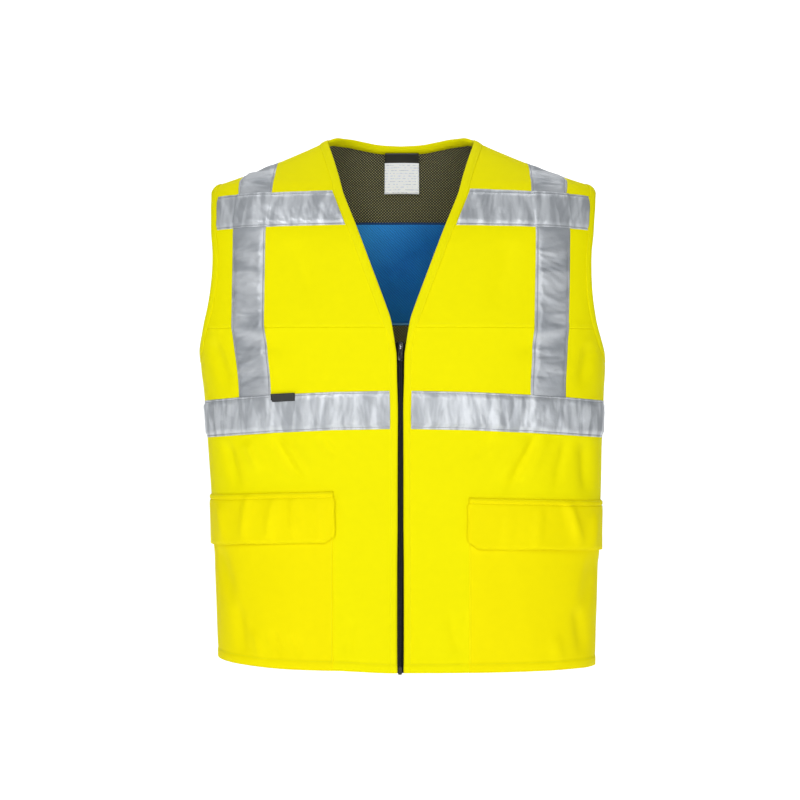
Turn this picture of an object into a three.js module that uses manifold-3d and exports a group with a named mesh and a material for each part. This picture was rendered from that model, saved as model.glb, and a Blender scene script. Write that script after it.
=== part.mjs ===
// A sleeveless hi-vis cooling vest, open and rounded as it is when it is worn: yellow shell panels,
// reflective tapes, flap pockets, a front zip, and inside the back a mesh lining with a cooling panel.
// Millimetres, +Z up, the front faces -Y, so the wearer's left side is at +X.
// The origin is midway between the neck ends of the two shoulder seams, where the vest sits on the wearer.
import * as THREE from "three";
import { mergeVertices } from "three/addons/utils/BufferGeometryUtils.js";
import Module from "manifold-3d";

const wasm = await Module();
wasm.setup();

// Body sizes. Heights are measured down from the neck ends of the shoulder seams.
const VEST_LENGTH = 740;
const SHOULDER_DROP = 66;
const NECK_HALF_WIDTH = 104;
const SHOULDER_HALF_WIDTH = 266;
const BODY_HALF_WIDTH = 287;
const FRONT_DEPTH = 131;
const BACK_DEPTH = 122;
const V_DEPTH = 296;
const NECK_RISE = 4.5;
const ARMHOLE_DEPTH = 240;
const ARMHOLE_HALF_SPAN = 62;

// Cloth and trim sizes.
const CLOTH_WALL = 1.2;
const MESH_WALL = 1;
const TAPE_WALL = 1;
const BINDING_WALL = 1;
const BINDING_WIDTH = 11;
const BINDING_LIFT = 1.5;
const BINDING_SLACK = 5.8;
const TAPE_WIDTH = 50;
const BRACE_HALF_SPAN = 179.6;
const HEM_HEIGHT = 12;
const LAYER_GAP = 0.3;
const SEAM_GAP = 0.4;
const TRIM_CLEAR = 1.5;

// Pocket sizes.
const POCKET_INSET = 92;
const POCKET_WALL = 1.2;
const FLAP_HEIGHT = 70;
const FLAP_OVERLAP = 15;
const FLAP_WALL = 1.6;
const FLAP_FLARE = 5;

// Zip sizes.
const ZIP_HALF_GAP = 4.4;
const COIL_WIDTH = 5.8;
const COIL_WALL = 2;
const COIL_RECESS = 0.4;
const ZIP_TAPE_WIDTH = 12;
const ZIP_TOP_RISE = 6;
const SLIDER_WIDTH = 8.4;
const SLIDER_LENGTH = 12;
const SLIDER_PLATE = 1.6;
const SLIDER_POST = 2.2;
const BRIDGE_WIDTH = 2;
const BRIDGE_LENGTH = 7;
const BRIDGE_WALL = 1.3;
const BRIDGE_CLEAR = 1.9;
const PULL_LENGTH = 20;
const PULL_WIDTH = 6.6;
const PULL_WALL = 1.2;
const PULL_EYE_LENGTH = 4;
const PULL_EYE_CLEAR = 0.5;
const STOP_LENGTH = 11;
const STOP_DROP = 2;

// Inside sizes.
const COOLER_DROP = 108;
const COOLER_HEIGHT = 148;
const COOLER_WALL = 3;
const LABEL_WIDTH = 50;
const LABEL_HEIGHT = 58;
const LABEL_SHIFT = 2;
const LABEL_WALL = 1;
const LABEL_STAND_OFF = 7.6;

// Side tab sizes.
const TAB_WIDTH = 31;
const TAB_HEIGHT = 11;
const TAB_WALL = 1;

const FRONT = -1;
const BACK = 1;
const RIGHT = -1;
const LEFT = 1;

// The shoulder slope: drop is a share of SHOULDER_DROP, out a share of the way from neck to shoulder tip,
// front and back are shares of the two depths, and power is the squareness of the section.
const SHOULDER_SECTIONS = [
  { drop: -0.16, out: -0.1, front: 0.17, back: 0.51, power: 2 },
  { drop: 0, out: 0, front: 0.24, back: 0.574, power: 2 },
  { drop: 0.15, out: 0.125, front: 0.3, back: 0.625, power: 2 },
  { drop: 0.3, out: 0.265, front: 0.35, back: 0.664, power: 2 },
  { drop: 0.5, out: 0.46, front: 0.42, back: 0.717, power: 2.02 },
  { drop: 0.7, out: 0.66, front: 0.49, back: 0.762, power: 2.05 },
  { drop: 0.85, out: 0.84, front: 0.54, back: 0.795, power: 2.07 },
];

// The body below the shoulder tips: drop is a share of the rest of VEST_LENGTH, wide a share of
// BODY_HALF_WIDTH, and the other columns are as above.
const BODY_SECTIONS = [
  { drop: 0, wide: 0.927, front: 0.59, back: 0.824, power: 2.2 },
  { drop: 0.018, wide: 0.962, front: 0.645, back: 0.857, power: 2.34 },
  { drop: 0.055, wide: 0.976, front: 0.755, back: 0.91, power: 2.54 },
  { drop: 0.1, wide: 0.983, front: 0.858, back: 0.948, power: 2.58 },
  { drop: 0.14, wide: 0.989, front: 0.908, back: 0.975, power: 2.5 },
  { drop: 0.225, wide: 0.998, front: 0.962, back: 1, power: 2.46 },
  { drop: 0.3, wide: 1, front: 0.996, back: 0.996, power: 2.42 },
  { drop: 0.377, wide: 0.998, front: 1, back: 0.975, power: 2.4 },
  { drop: 0.427, wide: 0.988, front: 1, back: 0.963, power: 2.4 },
  { drop: 0.528, wide: 0.974, front: 0.989, back: 0.947, power: 2.4 },
  { drop: 0.68, wide: 0.958, front: 0.977, back: 0.943, power: 2.4 },
  { drop: 0.782, wide: 0.942, front: 0.973, back: 0.947, power: 2.4 },
  { drop: 0.883, wide: 0.932, front: 0.97, back: 0.951, power: 2.4 },
  { drop: 1, wide: 0.925, front: 0.962, back: 0.959, power: 2.4 },
];

// The V: down is a share of V_DEPTH, out the share of the way from the zip gap to the neck width.
const V_EDGE = [
  { down: 0, out: 1 },
  { down: 0.139, out: 0.902 },
  { down: 0.274, out: 0.769 },
  { down: 0.443, out: 0.572 },
  { down: 0.645, out: 0.346 },
  { down: 0.811, out: 0.163 },
  { down: 0.868, out: 0.104 },
  { down: 0.909, out: 0.074 },
  { down: 0.963, out: 0.041 },
  { down: 1, out: 0.024 },
];

// The edge beside the zip: down is a share of the zip's length, gap a share of ZIP_HALF_GAP.
const ZIP_EDGE = [
  { down: 0, gap: 1.555 },
  { down: 0.023, gap: 1.227 },
  { down: 0.095, gap: 1.09 },
  { down: 0.205, gap: 0.82 },
  { down: 0.354, gap: 0.886 },
  { down: 0.538, gap: 0.91 },
  { down: 0.685, gap: 1.045 },
  { down: 0.91, gap: 1.045 },
  { down: 1, gap: 0.955 },
];

// The back neckline: across is a share of NECK_HALF_WIDTH, rise a share of NECK_RISE.
const BACK_NECKLINE = [
  { across: 0, rise: 0 },
  { across: 0.27, rise: 0.25 },
  { across: 0.54, rise: 1 },
  { across: 0.7, rise: 1.4 },
  { across: 0.85, rise: 1.3 },
  { across: 1, rise: 0 },
];

// The braces bow a little outward over the chest: down is a share of VEST_LENGTH, bow of BRACE_HALF_SPAN.
const BRACE_BOW = [
  { down: 0, bow: 0 },
  { down: 0.11, bow: 0.014 },
  { down: 0.19, bow: 0.042 },
  { down: 0.34, bow: 0.042 },
  { down: 0.48, bow: 0 },
  { down: 1, bow: -0.008 },
];

// Soft folds, each along a line on the body: around is the share of the way from the middle to the side
// seam, lean how much of that it moves from its top to its foot, and top and foot are rows. The width is
// a share of the same way round, and the height one of FOLD_HEIGHT.
const FOLD_HEIGHT = 3;
const FOLDS = [
  { face: FRONT, side: LEFT, around: 0.4, lean: -0.11, top: 5, foot: 3.6, width: 0.05, height: -0.7 },
  { face: FRONT, side: LEFT, around: 0.55, lean: -0.03, top: 5, foot: 4, width: 0.05, height: 0.8 },
  { face: FRONT, side: LEFT, around: 0.68, lean: -0.02, top: 5, foot: 3.4, width: 0.05, height: -0.8 },
  { face: FRONT, side: RIGHT, around: 0.46, lean: -0.05, top: 5, foot: 3.8, width: 0.05, height: -0.7 },
  { face: FRONT, side: RIGHT, around: 0.63, lean: 0, top: 5, foot: 3.8, width: 0.06, height: 0.8 },
  { face: FRONT, side: RIGHT, around: 0.8, lean: 0.02, top: 5, foot: 1, width: 0.07, height: -0.9 },
  { face: FRONT, side: LEFT, around: 0.84, lean: 0.02, top: 5, foot: 1, width: 0.07, height: -0.9 },
];

// Places that follow from the sizes.
const ARMHOLE_FOOT = SHOULDER_DROP + ARMHOLE_DEPTH;
const SKIRT = VEST_LENGTH - ARMHOLE_FOOT;
const WAIST_TAPE_TOP = ARMHOLE_FOOT + 0.123 * SKIRT;
const FLAP_TOP = ARMHOLE_FOOT + 0.445 * SKIRT;
const SIDE_DROOP = 12;
const CHEST_LEAN = 0.94;

// The rows of the cut, from the hem up: how far each lies below the neck at the middle and at the side.
const ROWS = [
  { name: "hem", middle: VEST_LENGTH, side: VEST_LENGTH },
  { name: "hem_stitch", middle: VEST_LENGTH - HEM_HEIGHT, side: VEST_LENGTH - HEM_HEIGHT },
  { name: "flap_foot", middle: FLAP_TOP + FLAP_HEIGHT, side: FLAP_TOP + FLAP_HEIGHT + SIDE_DROOP },
  { name: "pocket_mouth", middle: FLAP_TOP + FLAP_OVERLAP, side: FLAP_TOP + FLAP_OVERLAP + SIDE_DROOP },
  { name: "flap_top", middle: FLAP_TOP, side: FLAP_TOP + SIDE_DROOP },
  { name: "waist_foot", middle: WAIST_TAPE_TOP + TAPE_WIDTH, side: WAIST_TAPE_TOP + TAPE_WIDTH + SIDE_DROOP },
  { name: "waist_top", middle: WAIST_TAPE_TOP, side: WAIST_TAPE_TOP + SIDE_DROOP },
  { name: "armhole_foot", middle: V_DEPTH, side: ARMHOLE_FOOT },
  { name: "chest_seam", middle: 0.909 * V_DEPTH, side: ARMHOLE_FOOT - 0.154 * ARMHOLE_DEPTH },
  { name: "chest_foot", middle: 0.277 * V_DEPTH + CHEST_LEAN * TAPE_WIDTH,
    side: ARMHOLE_FOOT - 0.917 * ARMHOLE_DEPTH + CHEST_LEAN * TAPE_WIDTH },
  { name: "chest_top", middle: 0.277 * V_DEPTH, side: ARMHOLE_FOOT - 0.917 * ARMHOLE_DEPTH },
];
const ROW = Object.fromEntries(ROWS.map((row, index) => [row.name, index]));
const SHOULDER = ROWS.length;

// The columns of each face, from the middle to the side.
const EDGE = 0;
const FACING = 1;
const POCKET = 2;
const BRACE = 3;
const BRACE_OUT = 4;
const TRIM = 5;
const SIDE = 6;
const COLUMNS = {
  [FRONT]: ["edge", "facing", "pocket", "brace", "braceOut", "trim", "side"],
  [BACK]: ["centre", "neck", "neckBrace", "brace", "braceOut", "trim", "side"],
};

const colours = {
  yellow: { color: 0xf4ec04, roughness: 0.75, metalness: 0 },
  tape: { color: 0xb7bcc1, roughness: 0.35, metalness: 0.35 },
  mesh: { color: 0x3f3e33, roughness: 0.9, metalness: 0 },
  cooler: { color: 0x1b548a, roughness: 0.8, metalness: 0 },
  zipper: { color: 0x1c1c1a, roughness: 0.5, metalness: 0 },
  label: { color: 0xd6d8dc, roughness: 0.6, metalness: 0 },
  tab: { color: 0x3c3c3c, roughness: 0.7, metalness: 0 },
};
const finishes = Object.fromEntries(
  Object.entries(colours).map(([name, look]) => [name, new THREE.MeshStandardMaterial(look)]),
);

const vest = new THREE.Group();

const lerp = THREE.MathUtils.lerp;
const clamp = THREE.MathUtils.clamp;
const vector = (x, y, z) => new THREE.Vector3(x, y, z);

// A smooth step from 0 at low to 1 at high.
function ease(value, low, high) {
  const share = clamp((value - low) / (high - low), 0, 1);
  return share * share * (3 - 2 * share);
}

// The value of one column of a table at a place on its first column, without overshoot.
function read(table, key, column, at) {
  const last = table.length - 2;
  let row = 0;
  while (row < last && at > table[row + 1][key]) row++;
  const slope = (k) => (table[k + 1][column] - table[k][column]) / (table[k + 1][key] - table[k][key]);
  const tangent = (k) => {
    if (k === 0 || k === table.length - 1) return slope(Math.min(k, last));
    const before = slope(k - 1);
    const after = slope(k);
    return before * after <= 0 ? 0 : (2 * before * after) / (before + after);
  };
  const from = table[row];
  const to = table[row + 1];
  const span = to[key] - from[key];
  const t = (at - from[key]) / span;
  if (t < 0) return from[column] + tangent(row) * (at - from[key]);
  if (t > 1) return to[column] + tangent(row + 1) * (at - to[key]);
  const rise = (3 - 2 * t) * t * t;
  const leave = (t - 1) * (t - 1) * t * span * tangent(row);
  const arrive = (t - 1) * t * t * span * tangent(row + 1);
  return from[column] * (1 - rise) + to[column] * rise + leave + arrive;
}

// The horizontal sections of the body, from the two tables, each at its distance down.
const SECTIONS = [
  ...SHOULDER_SECTIONS.map((row) => ({
    down: row.drop * SHOULDER_DROP,
    half: lerp(NECK_HALF_WIDTH, SHOULDER_HALF_WIDTH, row.out),
    front: row.front * FRONT_DEPTH,
    back: row.back * BACK_DEPTH,
    power: row.power,
  })),
  ...BODY_SECTIONS.map((row, index) => ({
    down: lerp(SHOULDER_DROP, VEST_LENGTH, row.drop),
    half: index ? row.wide * BODY_HALF_WIDTH : SHOULDER_HALF_WIDTH,
    front: row.front * FRONT_DEPTH,
    back: row.back * BACK_DEPTH,
    power: row.power,
  })),
];

function section(z) {
  const get = (column) => read(SECTIONS, "down", column, -z);
  return { half: get("half"), front: get("front"), back: get("back"), power: get("power") };
}

const depthOf = (cut, face) => (face === FRONT ? cut.front : cut.back);

// 1 on the body's surface, less inside it and more outside it.
function fullness(p) {
  const cut = section(p.z);
  const depth = p.y < 0 ? cut.front : cut.back;
  return (Math.abs(p.x) / cut.half) ** cut.power + (Math.abs(p.y) / depth) ** cut.power;
}

function gradient(p) {
  const probe = 0.05;
  const along = (axis) => {
    const ahead = p.clone();
    const behind = p.clone();
    ahead[axis] += probe;
    behind[axis] -= probe;
    return (fullness(ahead) - fullness(behind)) / (2 * probe);
  };
  return vector(along("x"), along("y"), along("z"));
}

// The nearest place on the body's surface.
function seat(p) {
  const q = p.clone();
  for (let pass = 0; pass < 6; pass++) {
    const slope = gradient(q);
    q.addScaledVector(slope, (1 - fullness(q)) / slope.lengthSq());
  }
  return q;
}

const outward = (p) => gradient(p).normalize();

// The place on a section at a given distance from the middle, on the front or the back.
function across(face, x, z) {
  const cut = section(z);
  const left = Math.max(0, 1 - (Math.abs(x) / cut.half) ** cut.power);
  return vector(x, face * depthOf(cut, face) * left ** (1 / cut.power), z);
}

// The place on a section at a given distance in front of or behind the side seam.
function aside(face, y, z) {
  const cut = section(z);
  const left = Math.max(0, 1 - (Math.abs(y) / depthOf(cut, face)) ** cut.power);
  return vector(cut.half * left ** (1 / cut.power), face * Math.abs(y), z);
}

// From a place on a section, another at a straight distance from it, towards the side or the middle.
function beside(face, from, distance) {
  const cut = section(from.z);
  const turn = (angle) =>
    vector(
      cut.half * Math.sin(angle) ** (2 / cut.power),
      face * depthOf(cut, face) * Math.cos(angle) ** (2 / cut.power),
      from.z,
    );
  const start = Math.asin(Math.min(1, (from.x / cut.half) ** (cut.power / 2)));
  let near = start;
  let far = distance > 0 ? Math.PI / 2 : 0;
  for (let pass = 0; pass < 40; pass++) {
    const middle = (near + far) / 2;
    if (turn(middle).distanceTo(from) < Math.abs(distance)) near = middle;
    else far = middle;
  }
  return turn(near);
}

// The front edge of the cloth: the V, and below it the edge beside the zip.
function edgeAt(z) {
  if (-z < V_DEPTH) {
    return lerp(ZIP_HALF_GAP, NECK_HALF_WIDTH, read(V_EDGE, "down", "out", -z / V_DEPTH));
  }
  const down = (-z - V_DEPTH) / (VEST_LENGTH - V_DEPTH);
  return ZIP_HALF_GAP * read(ZIP_EDGE, "down", "gap", down);
}

const braceAt = (z) => BRACE_HALF_SPAN * (1 + read(BRACE_BOW, "down", "bow", -z / VEST_LENGTH));

// The armhole, seen from the side: an egg, a little wider below.
const ARMHOLE_MIDDLE = -(SHOULDER_DROP + ARMHOLE_DEPTH / 2);
const ARMHOLE_EGG = 0.12;
function armholeAt(angle) {
  const height = Math.sin(angle);
  return {
    y: ARMHOLE_HALF_SPAN * Math.cos(angle) * (1 - ARMHOLE_EGG * height),
    z: ARMHOLE_MIDDLE + (ARMHOLE_DEPTH / 2) * height,
  };
}
const armholeAngle = (z) => Math.asin(clamp((z - ARMHOLE_MIDDLE) / (ARMHOLE_DEPTH / 2), -1, 1));

function sidePoint(face, z) {
  const inArmhole = z > -ARMHOLE_FOOT;
  return aside(face, inArmhole ? armholeAt(armholeAngle(z)).y : 0, z);
}

// How steeply the armhole's edge runs at a level: 1 straight up. Only its upper half leans away.
function sideSteepness(face, z) {
  if (z < ARMHOLE_MIDDLE || z > -SHOULDER_DROP) return 1;
  const step = 1;
  const run = sidePoint(face, z + step).sub(sidePoint(face, z - step));
  return Math.max(0.5, (2 * step) / run.length());
}

// Where a named column crosses a level, on the wearer's left half.
function crossing(face, column, z) {
  const edge = () => across(face, edgeAt(z), z);
  const brace = () => across(face, braceAt(z), z);
  const half = (a, b, share) => across(face, lerp(a.x, b.x, share), z);
  const towardsChest = ease(-z, WAIST_TAPE_TOP, WAIST_TAPE_TOP / 3);
  const places = {
    edge,
    facing: () => beside(face, edge(), BINDING_WIDTH + TRIM_CLEAR),
    pocket: () => across(face, lerp(POCKET_INSET, (edgeAt(z) + braceAt(z)) / 2, towardsChest), z),
    centre: () => across(face, 0, z),
    neck: () => across(face, NECK_HALF_WIDTH, z),
    neckBrace: () => half(across(face, NECK_HALF_WIDTH, z), brace(), 0.5),
    brace,
    braceOut: () => beside(face, brace(), TAPE_WIDTH),
    trim: () => beside(face, sidePoint(face, z), -(BINDING_WIDTH + TRIM_CLEAR) / sideSteepness(face, z)),
    side: () => sidePoint(face, z),
  };
  return places[column]();
}

// How far down a row lies at a share of the way from the middle to the side.
function rowDown(row, share) {
  const low = clamp(Math.floor(row), 0, ROWS.length - 2);
  const middle = lerp(ROWS[low].middle, ROWS[low + 1].middle, row - low);
  const side = lerp(ROWS[low].side, ROWS[low + 1].side, row - low);
  return lerp(middle, side, share * share);
}

// The row that lies a given distance down at the middle.
function rowAt(down) {
  let low = 0;
  while (low < ROWS.length - 2 && down < ROWS[low + 1].middle) low++;
  return low + (ROWS[low].middle - down) / (ROWS[low].middle - ROWS[low + 1].middle);
}

// The height of the shoulder ridge at a distance from the middle.
function ridge(x) {
  let high = -SECTIONS[0].down;
  let low = -SHOULDER_DROP - HEM_HEIGHT;
  for (let pass = 0; pass < 40; pass++) {
    const z = (high + low) / 2;
    if (section(z).half > x) low = z;
    else high = z;
  }
  return vector(x, 0, high);
}

// Where a column reaches the shoulder seam, or on the back also the neckline.
function topPoint(face, column) {
  const neck = face === FRONT ? NECK_HALF_WIDTH : 0;
  const outs = {
    edge: NECK_HALF_WIDTH,
    facing: NECK_HALF_WIDTH + BINDING_WIDTH,
    pocket: (NECK_HALF_WIDTH + BRACE_HALF_SPAN) / 2,
    centre: 0,
    neck: NECK_HALF_WIDTH,
    neckBrace: (NECK_HALF_WIDTH + BRACE_HALF_SPAN) / 2,
    brace: BRACE_HALF_SPAN,
    braceOut: BRACE_HALF_SPAN + TAPE_WIDTH,
    trim: SHOULDER_HALF_WIDTH - BINDING_WIDTH,
    side: SHOULDER_HALF_WIDTH,
  };
  const x = Math.max(neck, outs[column]);
  return x ? ridge(x) : across(face, 0, BACK_NECKLINE[0].rise * NECK_RISE);
}

// A place on the back neckline, at a share of the turn from the middle to the neck point.
function necklinePoint(share) {
  const angle = (share * Math.PI) / 2;
  const x = NECK_HALF_WIDTH * Math.sin(angle);
  const z = NECK_RISE * read(BACK_NECKLINE, "across", "rise", Math.sin(angle));
  return share === 1 ? ridge(NECK_HALF_WIDTH) : across(BACK, x, z);
}

// A whole column's place at a row, on the body's surface.
function onColumn(face, column, row) {
  const name = COLUMNS[face][column];
  if (row <= ROW.chest_top) {
    let place = crossing(face, name, -rowDown(row, 0.5));
    for (let pass = 0; pass < 6; pass++) {
      const share = clamp(place.x / section(place.z).half, 0, 1);
      place = crossing(face, name, -rowDown(row, share));
    }
    return place;
  }
  const rise = row - ROW.chest_top;
  const start = onColumn(face, column, ROW.chest_top);
  if (name === "side") {
    const angle = lerp(armholeAngle(start.z), Math.PI / 2, rise);
    const { y, z } = armholeAt(angle);
    return rise === 1 ? topPoint(face, name) : seat(aside(face, y, z));
  }
  return seat(start.clone().lerp(topPoint(face, name), rise));
}

// Any place on the cloth. Columns and rows may be fractions, and a negative column is on the right half.
function spot(face, column, row) {
  const size = Math.abs(column);
  const low = Math.min(Math.floor(size), SIDE - 1);
  const share = size - low;
  let place;
  if (face === BACK && size < 1 && row > ROW.chest_top) {
    const start = seat(onColumn(face, 0, ROW.chest_top).lerp(onColumn(face, 1, ROW.chest_top), share));
    place = start.lerp(necklinePoint(share), row - ROW.chest_top);
    place = row === SHOULDER ? place : seat(place);
  } else {
    place = onColumn(face, low, row);
    if (share) place = seat(place.lerp(onColumn(face, low + 1, row), share));
  }
  place.y = face * Math.max(SEAM_GAP / 2, face * place.y);
  const normal = outward(place);
  const raised = place.clone().addScaledVector(normal, foldHeight(face, place, column < 0 ? RIGHT : LEFT, row));
  const side = column < 0 ? -1 : 1;
  return { place: raised.setX(side * raised.x), normal: normal.setX(side * normal.x) };
}

// How far the folds lift or sink the cloth at a place on the left half, read for the given side.
function foldHeight(face, place, side, row) {
  const cut = section(place.z);
  const turn = Math.atan2(
    (place.x / cut.half) ** (cut.power / 2),
    Math.abs(place.y / depthOf(cut, face)) ** (cut.power / 2),
  );
  const around = turn / (Math.PI / 2);
  return FOLDS.filter((fold) => fold.face === face && fold.side === side).reduce((sum, fold) => {
    const length = fold.top - fold.foot;
    const down = (fold.top - row) / length;
    const fade = ease(down, 0, 0.3) * ease(down, 1, 0.6);
    const off = (around - fold.around - fold.lean * down) / fold.width;
    return sum + FOLD_HEIGHT * fold.height * fade * Math.exp(-off * off);
  }, 0);
}

// Shape helpers

// Splits each stretch between whole numbers of a list into equal steps: counts has one entry a stretch.
function steps(start, counts) {
  const list = [start];
  counts.forEach((count, stretch) => {
    for (let k = 1; k <= count; k++) list.push(start + stretch + k / count);
  });
  return list;
}

function flipped(indices) {
  const turned = indices.slice();
  for (let k = 0; k < turned.length; k += 3) [turned[k + 1], turned[k + 2]] = [turned[k + 2], turned[k + 1]];
  return turned;
}

// A closed shape from corners and triangles, turned so that its faces point out.
function closedShape(points, indices) {
  const volume = indices.reduce((sum, _, k) => {
    if (k % 3) return sum;
    const [a, b, c] = [points[indices[k]], points[indices[k + 1]], points[indices[k + 2]]];
    return sum + a.dot(b.clone().cross(c));
  }, 0);
  const geometry = new THREE.BufferGeometry();
  geometry.setAttribute("position", new THREE.Float32BufferAttribute(points.flatMap((p) => p.toArray()), 3));
  geometry.setIndex(volume < 0 ? flipped(indices) : indices);
  return geometry;
}

function quad(indices, a, b, c, d) {
  indices.push(a, b, c, a, c, d);
}

// A wall of cloth: a grid of spots, each with the depths of the wall's inner and outer face along its normal.
function cloth(grid, layer) {
  const wide = grid.length;
  const high = grid[0].length;
  const points = [];
  for (const skin of [0, 1]) {
    grid.forEach((line, i) =>
      line.forEach(({ place, normal }, j) => {
        points.push(place.clone().addScaledVector(normal, layer(i, j)[skin]));
      }),
    );
  }
  const at = (skin, i, j) => (skin * wide + i) * high + j;
  const indices = [];
  for (let i = 0; i + 1 < wide; i++) {
    for (let j = 0; j + 1 < high; j++) {
      quad(indices, at(1, i, j), at(1, i + 1, j), at(1, i + 1, j + 1), at(1, i, j + 1));
      quad(indices, at(0, i, j), at(0, i, j + 1), at(0, i + 1, j + 1), at(0, i + 1, j));
    }
  }
  for (let i = 0; i + 1 < wide; i++) {
    quad(indices, at(0, i, 0), at(0, i + 1, 0), at(1, i + 1, 0), at(1, i, 0));
    quad(indices, at(0, i + 1, high - 1), at(0, i, high - 1), at(1, i, high - 1), at(1, i + 1, high - 1));
  }
  for (let j = 0; j + 1 < high; j++) {
    quad(indices, at(0, 0, j + 1), at(0, 0, j), at(1, 0, j), at(1, 0, j + 1));
    quad(indices, at(0, wide - 1, j), at(0, wide - 1, j + 1), at(1, wide - 1, j + 1), at(1, wide - 1, j));
  }
  return closedShape(points, indices);
}

const gridOf = (face, columns, rows) => columns.map((c) => rows.map((r) => spot(face, c, r)));

function add(name, geometry, finish) {
  const mesh = new THREE.Mesh(geometry, finishes[finish]);
  mesh.name = name;
  vest.add(mesh);
  return mesh;
}

// A piece of cloth on the front, once for each side; the layer function takes a column and a row.
function onBothFronts(name, columns, rows, layer, finish) {
  for (const [word, side] of [["left", LEFT], ["right", RIGHT]]) {
    const signed = columns.map((c) => (c ? side * c : side * 1e-9));
    const grid = gridOf(FRONT, signed, rows);
    add(`${name}_${word}`, cloth(grid, (i, j) => layer(columns[i], rows[j])), finish);
  }
}

// Rows and columns shared by the pieces of the front

const FRONT_COLUMNS = steps(EDGE, [1, 3, 3, 2, 3, 1]);
const SKIRT_ROWS = steps(ROW.hem, [1, 4, 2, 1, 3, 2, 2]);
const ARMHOLE_ROWS = [7.14, 7.5];
const RIDGE_ROWS = [0.25, 0.5, 0.75, 0.9, 1].map((share) => ROW.chest_top + share);
const CHEST_ROWS = [...steps(ROW.chest_seam, [4, 2]), ...RIDGE_ROWS];
const seamRows = SEAM_GAP / 2 / (rowDown(ROW.armhole_foot, 0) - rowDown(ROW.chest_seam, 0));
const seamRowsAbove = SEAM_GAP / 2 / (rowDown(ROW.chest_seam, 0) - rowDown(ROW.chest_foot, 0));
const columnsBetween = (list, a, b) => list.filter((c) => c >= Math.min(a, b) && c <= Math.max(a, b));
const rowsBetween = (list, from, to) => list.filter((r) => r >= from && r <= to);

const onCloth = (wall) => [LAYER_GAP, LAYER_GAP + wall];
const clothWall = () => [-CLOTH_WALL, 0];

// Front panels: the lower one from the hem to the chest seam, and the chest panel above it

const lowerRows = [...SKIRT_ROWS, ...ARMHOLE_ROWS, ROW.chest_seam - seamRows];
onBothFronts("front_panel", FRONT_COLUMNS, lowerRows, clothWall, "yellow");

const upperRows = [ROW.chest_seam + seamRowsAbove, ...CHEST_ROWS.slice(1)];
onBothFronts("chest_panel", FRONT_COLUMNS, upperRows, clothWall, "yellow");

// Back panel, in one piece

const BACK_HALF = steps(EDGE, [3, 1, 1, 2, 2, 1]);
const BACK_COLUMNS = [...BACK_HALF.slice(1).reverse().map((c) => -c), ...BACK_HALF];
const coolerFoot = rowAt(COOLER_DROP + COOLER_HEIGHT);
const coolerTop = rowAt(COOLER_DROP);
const BACK_WAIST_ROWS = [0, 1, 2, 3, 5, 6, 7];
const BACK_CHEST_ROWS = [8, coolerFoot, 8.4, 8.7, 9, coolerTop, 10];
const BACK_ROWS = [...BACK_WAIST_ROWS, ...ARMHOLE_ROWS, ...BACK_CHEST_ROWS, ...RIDGE_ROWS];
add("back_panel", cloth(gridOf(BACK, BACK_COLUMNS, BACK_ROWS), clothWall), "yellow");

// Mesh lining of the back, one gap inside the shell, from the hem stitch to the neckline

const LINING_OUT = -(CLOTH_WALL + LAYER_GAP);
const LINING_IN = LINING_OUT - MESH_WALL;
const liningRows = rowsBetween(BACK_ROWS, ROW.hem_stitch, SHOULDER);
add("back_lining", cloth(gridOf(BACK, BACK_COLUMNS, liningRows), () => [LINING_IN, LINING_OUT]), "mesh");

// Cooling panel, one gap inside the lining, between the braces

const coolerColumns = columnsBetween(BACK_COLUMNS, -BRACE, BRACE);
const coolerRows = rowsBetween(liningRows, coolerFoot, coolerTop);
const coolerLayer = (i, j) => {
  const rim = i === 0 || j === 0 || i === coolerColumns.length - 1 || j === coolerRows.length - 1;
  return [LINING_IN - LAYER_GAP - (rim ? COOLER_WALL / 2 : COOLER_WALL), LINING_IN - LAYER_GAP];
};
add("cooling_panel", cloth(gridOf(BACK, coolerColumns, coolerRows), coolerLayer), "cooler");

// Reflective tapes: braces over the shoulders, and the waist and chest tapes laid over them

const tapeOver = (wall) => [wall[0] + TAPE_WALL + LAYER_GAP, wall[1] + TAPE_WALL + LAYER_GAP];
const braceColumns = columnsBetween(FRONT_COLUMNS, BRACE, BRACE_OUT);
const allFrontRows = [...SKIRT_ROWS, ...ARMHOLE_ROWS, ...CHEST_ROWS];
const braceRows = rowsBetween(allFrontRows, ROW.waist_foot + 0.5, SHOULDER);
onBothFronts("brace_front", braceColumns, braceRows, () => onCloth(TAPE_WALL), "tape");

const backBraceRows = [ROW.waist_foot + 0.5, ...rowsBetween(BACK_ROWS, ROW.waist_top, SHOULDER)];
for (const [word, side] of [["left", LEFT], ["right", RIGHT]]) {
  const columns = columnsBetween(BACK_COLUMNS, side * BRACE, side * BRACE_OUT);
  const grid = gridOf(BACK, columns, backBraceRows);
  add(`brace_back_${word}`, cloth(grid, () => onCloth(TAPE_WALL)), "tape");
}

// A tape that crosses a brace is lifted over it.
function overBrace(column) {
  const size = Math.abs(column);
  return size >= BRACE && size <= BRACE_OUT ? tapeOver(onCloth(TAPE_WALL)) : onCloth(TAPE_WALL);
}

const waistColumns = columnsBetween(FRONT_COLUMNS, FACING, SIDE);
const waistRows = rowsBetween(SKIRT_ROWS, ROW.waist_foot, ROW.waist_top);
onBothFronts("waist_tape", waistColumns, waistRows, overBrace, "tape");

const backWaistGrid = gridOf(BACK, BACK_COLUMNS, [ROW.waist_foot, ROW.waist_top]);
add("waist_tape_back", cloth(backWaistGrid, (i) => overBrace(BACK_COLUMNS[i])), "tape");

const chestColumns = columnsBetween(FRONT_COLUMNS, FACING, TRIM);
const chestRows = rowsBetween(CHEST_ROWS, ROW.chest_foot, ROW.chest_top);
onBothFronts("chest_tape", chestColumns, chestRows, overBrace, "tape");

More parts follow.
